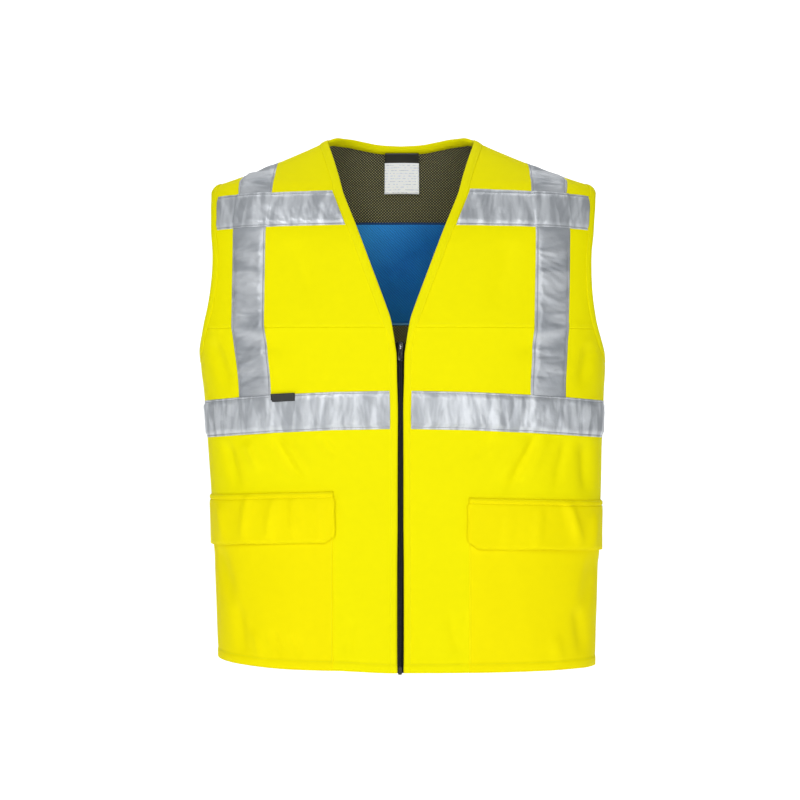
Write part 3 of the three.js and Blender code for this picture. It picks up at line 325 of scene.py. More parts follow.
# Soft folds of the whole front and back: a line from (x, z) to (x, z), its width and its height.
FOLDS = {
    FRONT: (
        (-0.178, -0.416, -0.136, -0.488, 0.0065, -0.0032),
        (-0.162, -0.418, -0.126, -0.478, 0.010, 0.0022),
        (-0.112, -0.416, -0.090, -0.452, 0.006, -0.0014),
        (-0.247, -0.425, -0.229, -0.500, 0.0075, -0.0034),
        (-0.216, -0.425, -0.197, -0.472, 0.008, 0.0024),
        (-0.264, -0.285, -0.240, -0.352, 0.009, -0.0030),
        (-0.226, -0.280, -0.150, -0.302, 0.012, -0.0020),
        (0.186, -0.414, 0.143, -0.494, 0.0060, -0.0036),
        (0.172, -0.418, 0.130, -0.478, 0.010, 0.0024),
        (0.200, -0.418, 0.165, -0.480, 0.009, 0.0022),
        (0.128, -0.416, 0.095, -0.450, 0.006, -0.0014),
        (0.226, -0.420, 0.208, -0.492, 0.007, -0.0024),
        (0.250, -0.425, 0.252, -0.500, 0.008, -0.0036),
        (0.262, -0.290, 0.246, -0.352, 0.009, -0.0030),
        (0.226, -0.282, 0.150, -0.302, 0.012, -0.0020),
        (-0.232, -0.655, -0.222, -0.730, 0.008, -0.0028),
        (-0.205, -0.690, -0.196, -0.735, 0.007, 0.0018),
        (-0.180, -0.690, -0.166, -0.724, 0.0048, -0.0021),
        (-0.154, -0.694, -0.140, -0.724, 0.0048, -0.0018),
        (-0.262, -0.580, -0.236, -0.660, 0.010, -0.0030),
        (0.236, -0.655, 0.246, -0.725, 0.008, -0.0028),
        (0.206, -0.690, 0.214, -0.735, 0.007, 0.0018),
        (0.262, -0.585, 0.246, -0.660, 0.010, -0.0024),
        (0.066, -0.655, 0.078, -0.722, 0.007, -0.0016),
        (0.090, -0.650, 0.079, -0.722, 0.006, -0.0014),
        (-0.066, -0.670, -0.078, -0.722, 0.007, -0.0014),
        (-0.150, -0.150, -0.120, -0.240, 0.014, -0.0018),
        (0.150, -0.150, 0.128, -0.240, 0.014, -0.0018),
    ),
    BACK: (
        (-0.120, -0.430, -0.100, -0.700, 0.022, -0.0030),
        (0.105, -0.430, 0.120, -0.700, 0.022, -0.0030),
        (-0.200, -0.430, -0.205, -0.690, 0.018, 0.0020),
        (0.200, -0.430, 0.195, -0.690, 0.018, 0.0020),
        (0.010, -0.440, -0.010, -0.640, 0.024, 0.0020),
        (-0.150, -0.120, -0.100, -0.330, 0.020, -0.0015),
        (0.150, -0.120, 0.105, -0.330, 0.020, -0.0015),
    ),
}


def folded(table, x, z):
    height = np.zeros_like(x)
    for x0, z0, x1, z1, wide, high in table:
        along = np.array([x1 - x0, z1 - z0])
        t = ((x - x0) * along[0] + (z - z0) * along[1]) / (along @ along)
        off = np.hypot(x - x0 - t * along[0], z - z0 - t * along[1]) / wide
        height += 1.5 * high * ease(t, -0.08, 0.25) * ease(t, 1.1, 0.6) * np.exp(-off * off)
    return height


def relief(face, place):
    """How far the worn cloth stands out of the body's plain form."""
    x, z = place[..., 0], place[..., 2]
    lower = ease(-z, 0.42, 0.50)
    soft = lattice(x / 0.055, z / 0.16, 3 + face)
    soft = soft + 0.4 * lattice(x / 0.024 + 0.6 * z / 0.1, z / 0.06, 7 + face)
    calm = ease(np.abs(place[..., 1]), 0.0, 0.03) * ease(-z, 0.03, 0.12)
    roping = 0.0004 * lattice((x + z) / 0.013, z / 0.05, 9) * ease(-z, 0.718, 0.732)
    return folded(FOLDS[face], x, z) + 0.0015 * soft * calm * (0.5 + 0.5 * lower) + roping


def worn(place):
    """Where the lean of the worn vest puts a place. The wearer's right half also hangs a little higher."""
    down = -place[..., 2]
    share = np.clip(np.abs(place[..., 0]) / 0.28, 0, 1.1) ** 2
    moved = place.copy()
    moved[..., 0] += np.interp(down, WORN_LEAN[:, 0], WORN_LEAN[:, 1]) * share
    hitch = np.interp(down, [0.42, 0.49, 0.59, 0.67, 0.74], [0, 0.0085, 0.0088, 0.0050, 0.0027])
    moved[..., 2] += hitch * ease(-place[..., 0], 0.01, 0.09)
    moved[..., 2] += 0.0095 * share ** 2 * ease(down, 0.60, 0.74) * (place[..., 0] < 0)
    return moved


def run_along(place, axis):
    """The distance run along a line or a grid of places, from its first one."""
    steps = np.linalg.norm(np.diff(place, axis=axis), axis=-1)
    start = np.zeros_like(np.take(steps, [0], axis=axis))
    return np.concatenate([start, np.cumsum(steps, axis=axis)], axis=axis)


def put_in_scene(bm, name):
    """A smooth piece from a finished bmesh."""
    for face in bm.faces:
        face.smooth = True
    mesh = bpy.data.meshes.new(name)
    bm.to_mesh(mesh)
    bm.free()
    piece = bpy.data.objects.new(name, mesh)
    bpy.context.collection.objects.link(piece)
    return piece


def give_wall(piece, wall):
    """A thickness, to the inner side of the face that was modelled."""
    solid = piece.modifiers.new("wall", "SOLIDIFY")
    solid.thickness = wall
    solid.offset = -1


def cloth_piece(name, place, normal, wall=0, close=False, probe=None):
    """A sheet on a grid of places: cut as a flat grid, laid on the places, and given its wall inwards."""
    wide, high = place.shape[:2]
    probe = probe or (wide // 2, high // 2)
    place = worn(place)
    bm = bmesh.new()
    bmesh.ops.create_grid(bm, x_segments=wide - 1, y_segments=high - 1, size=0.5, calc_uvs=True)
    run_u, run_v = run_along(place, 0), run_along(place, 1)
    centred = run_u - run_u[wide // 2] + run_u[wide // 2, high // 2]
    uv = bm.loops.layers.uv.verify()
    spots = {}
    for vert in bm.verts:
        spot = round((vert.co.x + 0.5) * (wide - 1)), round((vert.co.y + 0.5) * (high - 1))
        spots[vert.index] = spot
        vert.co = place[spot]
    for face in bm.faces:
        for loop in face.loops:
            spot = spots[loop.vert.index]
            loop[uv].uv = (centred[spot], run_v[spot])
    bm.normal_update()
    here = next(face for face in bm.faces if spots[face.verts[0].index] == probe)
    if here.normal.dot(Vector(normal[probe])) < 0:
        bmesh.ops.reverse_faces(bm, faces=bm.faces[:])
    if close:
        bmesh.ops.remove_doubles(bm, verts=bm.verts[:], dist=1e-5)
    piece = put_in_scene(bm, name)
    if wall:
        give_wall(piece, wall)
    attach(piece, "vest")
    return piece


def dress(piece, material, node=None):
    piece.data.materials.append(material)
    if node:
        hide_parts(node)


def sewn_sheet(name, place, normal, wall, material, slot, held="hung", rests_on=(), **form):
    """A sheet that stands for a CAD node, whose name it has with one word more. The flat rectangle that it
    is cut from is as wide and as high as its longest lines."""
    piece = cloth_piece(name, place, normal, wall, **form)
    dress(piece, material, name.rsplit("_", 1)[0])


def between(stops, spacing, lengths):
    """Stops on a column or row scale, split into steps of about one spacing."""
    out = [stops[0]]
    for a, b, length in zip(stops, stops[1:], lengths):
        count = max(1, round(length / spacing))
        out += [a + (b - a) * (k + 1) / count for k in range(count)]
    return np.array(out)


STITCH_LONG, THREAD_WIDE = 0.0032, 0.0007


def thread_rows(name, lines, material):
    """Sewing thread along lines of places and normals: it arches over each stitch and dives at each hole."""
    bm = bmesh.new()
    for place, normal in lines:
        place = worn(place)
        run = run_along(place, 0)
        count = max(4, 4 * int(run[-1] / STITCH_LONG))
        at = np.linspace(0, run[-1], count + 1)
        spots, up = (
            np.stack([np.interp(at, run, line[:, k]) for k in range(3)], -1) for line in (place, normal)
        )
        up = unit(up)
        side = unit(np.cross(up, np.gradient(spots, axis=0)))
        arch = np.abs(np.sin(np.arange(count + 1) * math.pi / 4))
        cross = np.array([-1.0, -0.55, 0.55, 1.0])
        crown = np.array([-0.00025, 0.00018, 0.00018, -0.00025])
        strip = (spots[:, None] + side[:, None] * (cross[None, :] * THREAD_WIDE / 2)[..., None]
                 + up[:, None] * (crown[None, :] + 0.00022 * arch[:, None] - 0.00012)[..., None])
        made = bmesh.ops.create_grid(bm, x_segments=count, y_segments=3, size=0.5)
        for vert in made["verts"]:
            vert.co = strip[round((vert.co.x + 0.5) * count), round((vert.co.y + 0.5) * 3)]
    bm.normal_update()
    piece = put_in_scene(bm, name)
    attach(piece, "vest")
    dress(piece, material)


def raised(face, place, normal, rise):
    """Places on the worn cloth, at a height over it."""
    return place + normal * (relief(face, place) + rise)[..., None]


def sewn_line(face, columns, rows, lift):
    """A line on the worn cloth along a column or a row, at a height over it."""
    place, normal = surface(face, columns, rows)
    return raised(face, place, normal, lift).reshape(-1, 3), normal.reshape(-1, 3)


def feed(material, made, inputs):
    """Sets a shader node's inputs: a socket of another node is linked in, and the rest are values."""
    for key, value in inputs.items():
        socket = made.inputs[key]
        if isinstance(value, bpy.types.NodeSocket):
            material.node_tree.links.new(value, socket)
        else:
            socket.default_value = (*value, 1) if socket.type == "RGBA" else value


def node(material, kind, inputs, output=0, **settings):
    """Adds a shader node with its settings and inputs, and gives back one of its outputs."""
    made = material.node_tree.nodes.new("ShaderNode" + kind)
    for name, value in settings.items():
        setattr(made, name, value)
    feed(material, made, inputs)
    return made.outputs[output]


def new_material(name, inputs):
    """A material and its shader, with the values that are the same all over it."""
    material = bpy.data.materials.new(name)
    material.use_nodes = True
    shader = material.node_tree.nodes["Principled BSDF"]
    feed(material, shader, inputs)
    return material, shader


def two_colours(material, share, low, high, **settings):
    """Goes from one colour to another by a share."""
    return node(material, "Mix", {0: share, 6: low, 7: high}, 2, data_type="RGBA", **settings)


def stepped(material, share, low, high, top=1.0, **settings):
    """Widens the part of a share between two levels to the whole of it."""
    inputs = {"Value": share, "From Min": low, "From Max": high, "To Max": top}
    return node(material, "MapRange", inputs, "Result", **settings)


def bumped(material, height, strength, distance, under=None, **settings):
    """A bump, over another one where that is given."""
    inputs = {"Height": height, "Strength": strength, "Distance": distance}
    if under is not None:
        inputs["Normal"] = under
    return node(material, "Bump", inputs, "Normal", **settings)


def mottled(material, coords, scale, strength, distance):
    """A fine noise, as a share for a colour and as a bump."""
    share = node(material, "TexNoise", {"Vector": coords, "Scale": scale, "Detail": 3}, "Fac")
    return share, bumped(material, share, strength, distance)


def bands(material, coords, pitch, way, distortion=0.0, output="Fac", **inputs):
    """Bands at a pitch in metres: at scale 1 the texture has one to 0.314."""
    inputs = {"Vector": coords, "Scale": 0.314 / pitch, "Distortion": distortion, **inputs}
    return node(material, "TexWave", inputs, output, bands_direction=way)


def crossed_threads(material, coords, pitch, distortion):
    """Threads both ways, highest where they cross."""
    warp, weft = (bands(material, coords, pitch, way, distortion) for way in "XY")
    return node(material, "Math", {0: warp, 1: weft}, operation="MULTIPLY")


def woven(name, colour, second, roughness, weave, scale=90, depth=0.0004, gloss=0.3, painted_glow=0.0):
    """A woven cloth: two close colours in soft patches, and the threads as a fine bump on its own UV map.
    Its glow, where one is given, is painted light: the cloth glows faintly in its own colour.
    """
    material, shader = new_material(name, {
        "Roughness": roughness, "Specular IOR Level": gloss,
        "Emission Color": colour, "Emission Strength": painted_glow,
    })
    uv = node(material, "TexCoord", {}, "UV")
    patches, bump = mottled(material, uv, scale, 0.35, depth)
    threads = crossed_threads(material, uv, weave, 0.4)
    feed(material, shader, {
        "Base Color": two_colours(material, patches, colour, second),
        "Normal": bumped(material, threads, 0.5, weave / 4, bump),
    })
    return material


def both_sides(columns):
    """Columns from the middle out, over the right hand and the left."""
    return np.concatenate([-columns[:0:-1], columns])


def rows_between(low, high, spacing):
    return between(range(low, high + 1), spacing, ROW_SPANS[low:high])


def with_hem(rows):
    """The rows of a piece that reaches down to the hem, with those of the hem's fold."""
    return np.concatenate([[0, 0.35, 0.7, 0.9], rows[rows > 0.95]])


def hem_band(rows):
    """The doubled hem stands a little proud below its sewn line, which pulls a shallow groove."""
    return 0.0005 * ease(rows, 0.98, 0.85) - 0.0004 * np.exp(-((rows - HEM_SEW) / 0.035) ** 2)


# The yellow cloth's faint glow is painted light that stands in for its fluorescence.
yellow_cloth = woven("yellow_cloth", (0.935, 0.855, 0.0010), (0.895, 0.825, 0.0013), 0.6, 0.0007,
                     gloss=0.03, painted_glow=0.02)
back_columns = both_sides(between(range(SIDE + 1), 0.006, BACK_SPANS))
back_rows = with_hem(rows_between(0, SHOULDER, 0.006))
place, normal = surface(BACK, back_columns, back_rows)
place = raised(BACK, place, normal, hem_band(back_rows)[None, :])
sewn_sheet("back_panel_cloth", place, normal, 0.0012, yellow_cloth, "yellow_cloth")

# Front and chest panels: the same polyester. The chest panels are lapped over the lower fronts in a level
# seam with a soft ridge, small gathers along it, and a sewn placket down each side of the zip.
HANDS = ("left", 1), ("right", -1)
PLACKET, FRONT_WALL = 0.72, 0.0011
FRONT_SPANS = (0.08, 0.095, 0.052, 0.085, 0.013)
front_columns = np.concatenate([
    [0, 0.25, 0.5, 0.62, 0.68, PLACKET, 0.76, 0.82, 0.91], between(range(1, SIDE + 1), 0.0038, FRONT_SPANS),
])
lower_rows = with_hem(rows_between(0, SEAM, 0.0034))
lower_rows = np.concatenate([lower_rows[lower_rows < 7.95], [7.965, 7.985, 8.0, 8.02]])
upper_rows = np.concatenate([[8.0, 8.012, 8.03], rows_between(SEAM, SHOULDER, 0.0038)[2:]])


def front_detail(columns, rows, place, seed):
    """The placket's edge, the hem, and what the chest seam does to the cloth on either side of it."""
    size = np.abs(columns)[:, None]
    placket = 0.0004 * ease(size, 0.76, 0.68) - 0.0004 * np.exp(-((size - PLACKET) / 0.045) ** 2)
    off = (-place[..., 2] - 0.269) / 0.010
    gathers = 0.0005 * lattice(place[..., 0] / 0.009, off * 0.3, seed) * np.exp(-off * off)
    ridge = 0.0006 * np.exp(-3 * (off + 0.35) ** 2)
    return placket + hem_band(rows)[None, :] + gathers + ridge


for word, hand in HANDS:
    for kind, rows in (("front", lower_rows), ("chest", upper_rows)):
        # The edge is column 0, and a hair more keeps it on its own side.
        place, normal = surface(FRONT, hand * (front_columns + 1e-9), rows)
        tuck = -0.0009 * ease(rows, 7.984, 8.0)[None, :] if kind == "front" else 0
        rise = front_detail(front_columns, rows, place, 11 + hand) + tuck
        place = raised(FRONT, place, normal, rise)
        sewn_sheet(f"{kind}_panel_{word}_cloth", place, normal, FRONT_WALL, yellow_cloth, "yellow_cloth")

# The thread's faint glow is painted light.
yellow_thread = woven("yellow_thread", (0.86, 0.80, 0.003), (0.80, 0.75, 0.004), 0.55, 0.0003,
                      gloss=0.1, painted_glow=0.08)
lines = [sewn_line(BACK, back_columns[2:-2], [HEM_SEW], -0.0003)]
for _, hand in HANDS:
    lines.append(sewn_line(FRONT, hand * front_columns[3:-1], [HEM_SEW], -0.0003))
    lines.append(sewn_line(FRONT, [hand * PLACKET], np.linspace(0.05, 7.2, 160), -0.0001))
    lines.append(sewn_line(FRONT, hand * front_columns[9:-2], [8.035], 0.0003))
thread_rows("shell_stitching", lines, yellow_thread)

# Back lining: dark knitted mesh, sewn in at the neckline, the armholes, the side seams and the hem. Its
# threads make small diamonds, and its holes are painted the dark olive of the shaded yellow shell behind
# them, a painted shade. The mesh also glows faintly in its own colours, which is painted light.
DIAMOND, LINING_WALL = 0.0030, 0.0008


def knitted_mesh(name):
    """Dark threads round holes painted the dark olive of the shaded yellow shell behind them, a painted
    shade, and a faint glow of painted light in the same colours.
    """
    material, shader = new_material(name, {"Roughness": 0.85, "Emission Strength": 0.06})
    uv = node(material, "TexCoord", {}, "UV")
    slanting = node(material, "Mapping", {"Vector": uv, "Rotation": (0, 0, math.pi / 4)})
    holes = stepped(material, crossed_threads(material, slanting, DIAMOND, 0.3), 0.30, 0.55)
    # Painted shade: the holes' olive stands for the yellow shell seen in shadow behind them.
    colour = two_colours(material, holes, (0.020, 0.021, 0.018), (0.35, 0.325, 0.145))
    # The emission is painted light: the mesh glows faintly in its own colours.
    feed(material, shader, {
        "Base Color": colour, "Emission Color": colour,
        "Normal": bumped(material, holes, 0.9, 0.0006, invert=True),
    })
    return material


place, normal = surface(BACK, back_columns[::2], rows_between(HEM_SEW, SHOULDER, 0.010))
hanging = (1 + lattice(place[..., 0] / 0.06, place[..., 2] / 0.09, 21)) * ease(-place[..., 2], 0, 0.05)
place = raised(BACK, place, normal, -0.0016 - 0.0012 * hanging)
sewn_sheet("back_lining_mesh", place, normal, LINING_WALL, knitted_mesh("mesh_cloth"), "mesh_lining",
           rests_on=["back_panel_cloth"])

# Cooling panel: a blue pad of absorbent cloth, sewn to the lining along its edges, and thickest in the
# middle. A narrow piped edge closes it at the top and the foot.
PAD_TOP, PAD_FOOT, PAD_IN = -0.108, -0.256, 0.0050
TWILL = 0.0021


def cooling_fabric(name):
    """Blue wicking cloth: a diagonal twill, soft wet-looking patches, and paler towards its upper right. It
    glows faintly in its own colours, which is painted light.
    """
    material = woven(name, (0.004, 0.122, 0.46), (0.006, 0.165, 0.60), 0.6, 0.0016,
                     scale=55, depth=0.0012, gloss=0.15)
    shader = material.node_tree.nodes["Principled BSDF"]
    blue = shader.inputs["Base Color"].links[0].from_socket
    x = node(material, "SeparateXYZ", {0: node(material, "TexCoord", {}, "Object")}, "X")
    slope = node(material, "Math", {0: x, 1: -0.7, 2: x.node.outputs["Z"]}, operation="MULTIPLY_ADD")
    pale = two_colours(material, stepped(material, slope, -0.165, -0.085), blue, (0.026, 0.27, 0.76))
    uv = node(material, "TexCoord", {}, "UV")
    twill = bands(material, uv, TWILL, "DIAGONAL", 3.5, "Color", Detail=3)
    ribbed = two_colours(material, 0.38, pale, twill, blend_type="MULTIPLY")
    # Painted light: the pad glows faintly in its own colours, which lifts it out of the shade inside the vest.
    feed(material, shader, {"Base Color": ribbed, "Emission Color": ribbed, "Emission Strength": 0.10})
    return material


def row_at(z):
    """The row that crosses the middle at a height."""
    return np.interp(z, -ROW_MIDDLE, np.arange(11))


def join_skins(piece, other):
    """Sews two skins on the same grid together along their edges, into one closed piece."""
    bm = bmesh.new()
    bm.from_mesh(piece.data)
    bm.from_mesh(other.data)
    bmesh.ops.bridge_loops(bm, edges=[edge for edge in bm.edges if edge.is_boundary])
    bmesh.ops.recalc_face_normals(bm, faces=bm.faces[:])
    for face in bm.faces:
        face.smooth = True
    bm.to_mesh(piece.data)
    bm.free()
    bpy.data.objects.remove(other, do_unlink=True)


share_u, share_v = np.linspace(0, 1, 111)[:, None], np.linspace(0, 1, 45)[None, :]
place, normal = surface(BACK, np.linspace(-3, 3, 111), np.linspace(row_at(PAD_FOOT), row_at(PAD_TOP), 45))
plump = (np.sin(share_u * math.pi) * np.sin(share_v * math.pi)) ** 0.35
rumple = lattice(place[..., 0] / 0.022 + place[..., 2] / 0.05, place[..., 2] / 0.02, 31)
outer = raised(BACK, place, normal, -PAD_IN)
inner = outer - normal * (plump * (0.0030 + 0.0007 * rumple) + 0.0006)[..., None]
pad = cloth_piece("cooling_pad", inner, -normal)
join_skins(pad, cloth_piece("cooling_pad_back", outer, normal))
dress(pad, cooling_fabric("cooling_cloth"), "cooling_panel")


def piped_edge(name, row, colour):
    """A narrow rolled edge along the pad, on its inner side."""
    spine, facing = inner[:, row], -normal[:, row]
    turns = np.linspace(0, 2 * math.pi, 9)
    down = unit(np.cross(np.gradient(spine, axis=0), facing))
    rings = [spine + facing * (0.0016 * math.cos(t)) + down * (0.0019 * math.sin(t)) for t in turns]
    outward = [facing * math.cos(t) + down * math.sin(t) for t in turns]
    piece = cloth_piece(name, np.array(rings), np.array(outward), close=True, probe=(0, 55))
    darker = tuple(0.8 * c for c in colour)
    dress(piece, woven(f"{name}_cloth", colour, darker, 0.6, 0.0008))


piped_edge("cooling_pad_foot_piping", 0, (0.10, 0.34, 0.86))
piped_edge("cooling_pad_top_piping", 44, (0.004, 0.05, 0.19))

# Reflective tapes: 50 mm silver tape, sewn down along both edges, which gathers it into crosswise
# puckers. The braces run over the shoulders, and the chest and waist tapes lie on top of them.
TAPE_WALL, TAPE_LIFT, TAPE_GRID = 0.0006, 0.0004, 0.0019
TAPE_SEAM = 0.052
rim = np.array([0, 0.028, 0.044, TAPE_SEAM, 0.062, 0.085, 0.12, 0.165])
TAPE_STOPS = np.concatenate([rim, np.linspace(0.21, 0.79, 12), 1 - rim[::-1]])


def silver_tape(name, crosswise, dark, light):
    """Silver beaded tape, on its own UV map: greys painted light and dark in streaks over its crosswise
    gathers, a painted light and shade of its puckers.
    """
    material, shader = new_material(name, {"Roughness": 0.46, "Metallic": 0.35, "Specular IOR Level": 0.35})
    uv = node(material, "TexCoord", {}, "UV")
    _, crumpled = mottled(material, uv, 210, 0.45, 0.0006)
    stretched = node(material, "Mapping", {"Vector": uv, "Scale": crosswise})
    gathers = node(material, "TexNoise", {
        "Vector": stretched, "Scale": 1.0, "Detail": 2.5, "Roughness": 0.45, "Distortion": 0.5,
    }, "Fac")
    # Painted light and shade: this share lights and darkens the greys in streaks across the tape, as its
    # gathers would.
    turned = stepped(material, gathers, 0.36, 0.66, interpolation_type="SMOOTHSTEP")
    soft = bumped(material, gathers, 0.45, 0.0016, crumpled)
    beads = node(material, "TexVoronoi", {"Vector": uv, "Scale": 1400}, "Distance")
    feed(material, shader, {
        "Base Color": two_colours(material, turned, dark, light),
        "Normal": bumped(material, beads, 0.2, 0.0002, soft),
    })
    return material


def puckered(u, v, seed):
    """The gathers of a tape, u along it and v across it: soft bulges with sharp valleys between its seams."""
    free = ease(v, TAPE_SEAM, 0.20) * ease(v, 1 - TAPE_SEAM, 0.80)
    slant = u + 0.010 * lattice(u / 0.06, v * 1.2, seed + 5)
    slant = slant + 0.016 * (v - 0.5) * lattice(u / 0.05, 0 * v, seed + 6)
    broad = np.abs(lattice(slant / 0.014, v * 0.9, seed)) ** 0.75
    narrow = np.abs(lattice(slant / 0.0075, v * 1.6, seed + 1)) ** 0.9
    crumple = lattice(slant / 0.006 + 2 * v, v * 6, seed + 2)
    pinched = 0.35 * np.abs(lattice(u / 0.0042, 0 * v, seed + 3)) * np.clip(4 * free * (1 - free), 0, 1)
    seams = np.exp(-((v - TAPE_SEAM) / 0.012) ** 2) + np.exp(-((1 - v - TAPE_SEAM) / 0.012) ** 2)
    return 0.0026 * (free * (0.75 * broad + 0.42 * narrow + 0.14 * crumple) + pinched) - 0.0003 * seams


# The braces are the same silver tape as the other tapes, with darker greys that are a painted shade.
tape_cloth = silver_tape("tape_cloth", (72, 15, 1), (0.42, 0.44, 0.47), (0.68, 0.705, 0.74))
brace_cloth = silver_tape("brace_cloth", (13, 42, 1), (0.36, 0.38, 0.41), (0.57, 0.59, 0.62))
grey_thread = woven("grey_thread", (0.20, 0.21, 0.23), (0.36, 0.37, 0.39), 0.6, 0.0003)
tape_seams = []


def tape_piece(name, face, columns, rows, along, seed, rests_on, lean=0):
    """A tape on the cloth. along says which way it runs: 0 over the columns, 1 over the rows."""
    place, normal = surface(face, columns, rows)
    if lean:
        place[..., 0] -= lean * ease(rows, 9.6, 11.0)[None, :] * np.sign(place[..., 0])
        place = seat(place)
        normal = unit(gradient(place))
    u = run_along(place, along)
    v = TAPE_STOPS[:, None] if along else TAPE_STOPS[None, :]
    gathers = puckered(u, v * np.ones_like(u), seed)
    if along:
        # A brace lies flat under the other tapes and at the shoulder, and rises over the chest seam.
        covered = ease(np.abs(rows - 5.5), 0.85, 0.50) + ease(np.abs(rows - 9.5), 0.80, 0.52)
        gathers = gathers * ((1 - 0.85 * covered) * ease(rows, 10.97, 10.75))[None, :]
        lift = 0.0012 * np.exp(-((-place[..., 2] - 0.268) / 0.008) ** 2)
    else:
        size = np.abs(np.asarray(columns))[:, None]
        lift = 0.0014 * ease(size, BRACE - 0.06, BRACE) * ease(size, BRACE_OUT + 0.06, BRACE_OUT)
    place = raised(face, place, normal, TAPE_LIFT + gathers + lift)
    sewn_sheet(name, place, normal, TAPE_WALL, brace_cloth if along else tape_cloth, "reflective_tape",
               held="stretched", rests_on=rests_on)
    for seam in (3, len(TAPE_STOPS) - 4):
        edge, up = (place[seam], normal[seam]) if along else (place[:, seam], normal[:, seam])
        tape_seams.append((edge + up * 0.0001, up))


brace_rows = between([5.4, 6, 7, 8, 9, 10, 11], TAPE_GRID, (0.03, *ROW_SPANS[6:]))
brace_rows[-1] = 10.998
waist_columns = between([0.86, 2, 3, 4, 5, 6], TAPE_GRID, (0.08, 0.09, 0.05, 0.085, 0.013))
chest_columns = between([1.02, 2, 3, 4, 5.1], TAPE_GRID, (0.06, 0.07, 0.05, 0.043))
# For each hand: how far the brace starts inside its column, its lean at the shoulder, and the chest tape's
# height.
for (word, hand), start, lean, high in zip(HANDS, (0.04, 0), (0.0035, 0.0090), (1.05, 1.02)):
    fronts = [f"front_panel_{word}_cloth", f"chest_panel_{word}_cloth"]
    brace_columns = hand * (BRACE + TAPE_STOPS - start)
    tape_piece(f"brace_front_{word}_tape", FRONT, brace_columns, brace_rows, 1, 41 + 3 * hand, fronts, lean)
    tape_piece(f"brace_back_{word}_tape", BACK, brace_columns, brace_rows, 1, 46 + 3 * hand,
               ["back_panel_cloth"], lean)
    tape_piece(f"waist_tape_{word}_tape", FRONT, hand * waist_columns, WAIST_FOOT + TAPE_STOPS, 0, 53 + hand,
               fronts[:1])
    tape_piece(f"chest_tape_{word}_tape", FRONT, hand * chest_columns, CHEST_FOOT + TAPE_STOPS * high, 0,
               63 + hand, fronts[1:])
tape_piece("waist_tape_back_tape", BACK, both_sides(between(range(SIDE + 1), 0.0026, BACK_SPANS)),
           WAIST_FOOT + TAPE_STOPS, 0, 70, ["back_panel_cloth"])
thread_rows("tape_stitching", tape_seams, grey_thread)

# Patch pockets and their flaps: the pocket is sewn flat to the lower front, down to the hem. The flap is
# a doubled piece, turned over a sewn ridge above the mouth, and its free foot ripples and stands off.
POCKET_WALL, FLAP_WALL, RIDGE = 0.0008, 0.0010, 3.46
# The doubled cloth's faint glow is painted light that stands in for its fluorescence.
double_cloth = woven("double_cloth", (0.955, 0.828, 0.0010), (0.92, 0.80, 0.0013), 0.6, 0.0007,
                     gloss=0.03, painted_glow=0.02)
FLAP_CREASES = {
    1: (
        (0.224, -0.506, 0.240, -0.572, 0.0060, 0.0034),
        (0.262, -0.524, 0.254, -0.578, 0.0065, 0.0024),
        (0.187, -0.515, 0.180, -0.575, 0.0060, 0.0016),
        (0.148, -0.520, 0.142, -0.575, 0.0080, 0.0012),
    ),
    -1: (
        (-0.150, -0.506, -0.145, -0.565, 0.0060, 0.0022),
        (-0.176, -0.510, -0.186, -0.570, 0.0070, 0.0026),
        (-0.214, -0.506, -0.222, -0.570, 0.0060, 0.0028),
        (-0.256, -0.520, -0.250, -0.575, 0.0070, 0.0022),
        (-0.118, -0.515, -0.112, -0.570, 0.0080, 0.0012),
    ),
}
pocket_lines = []
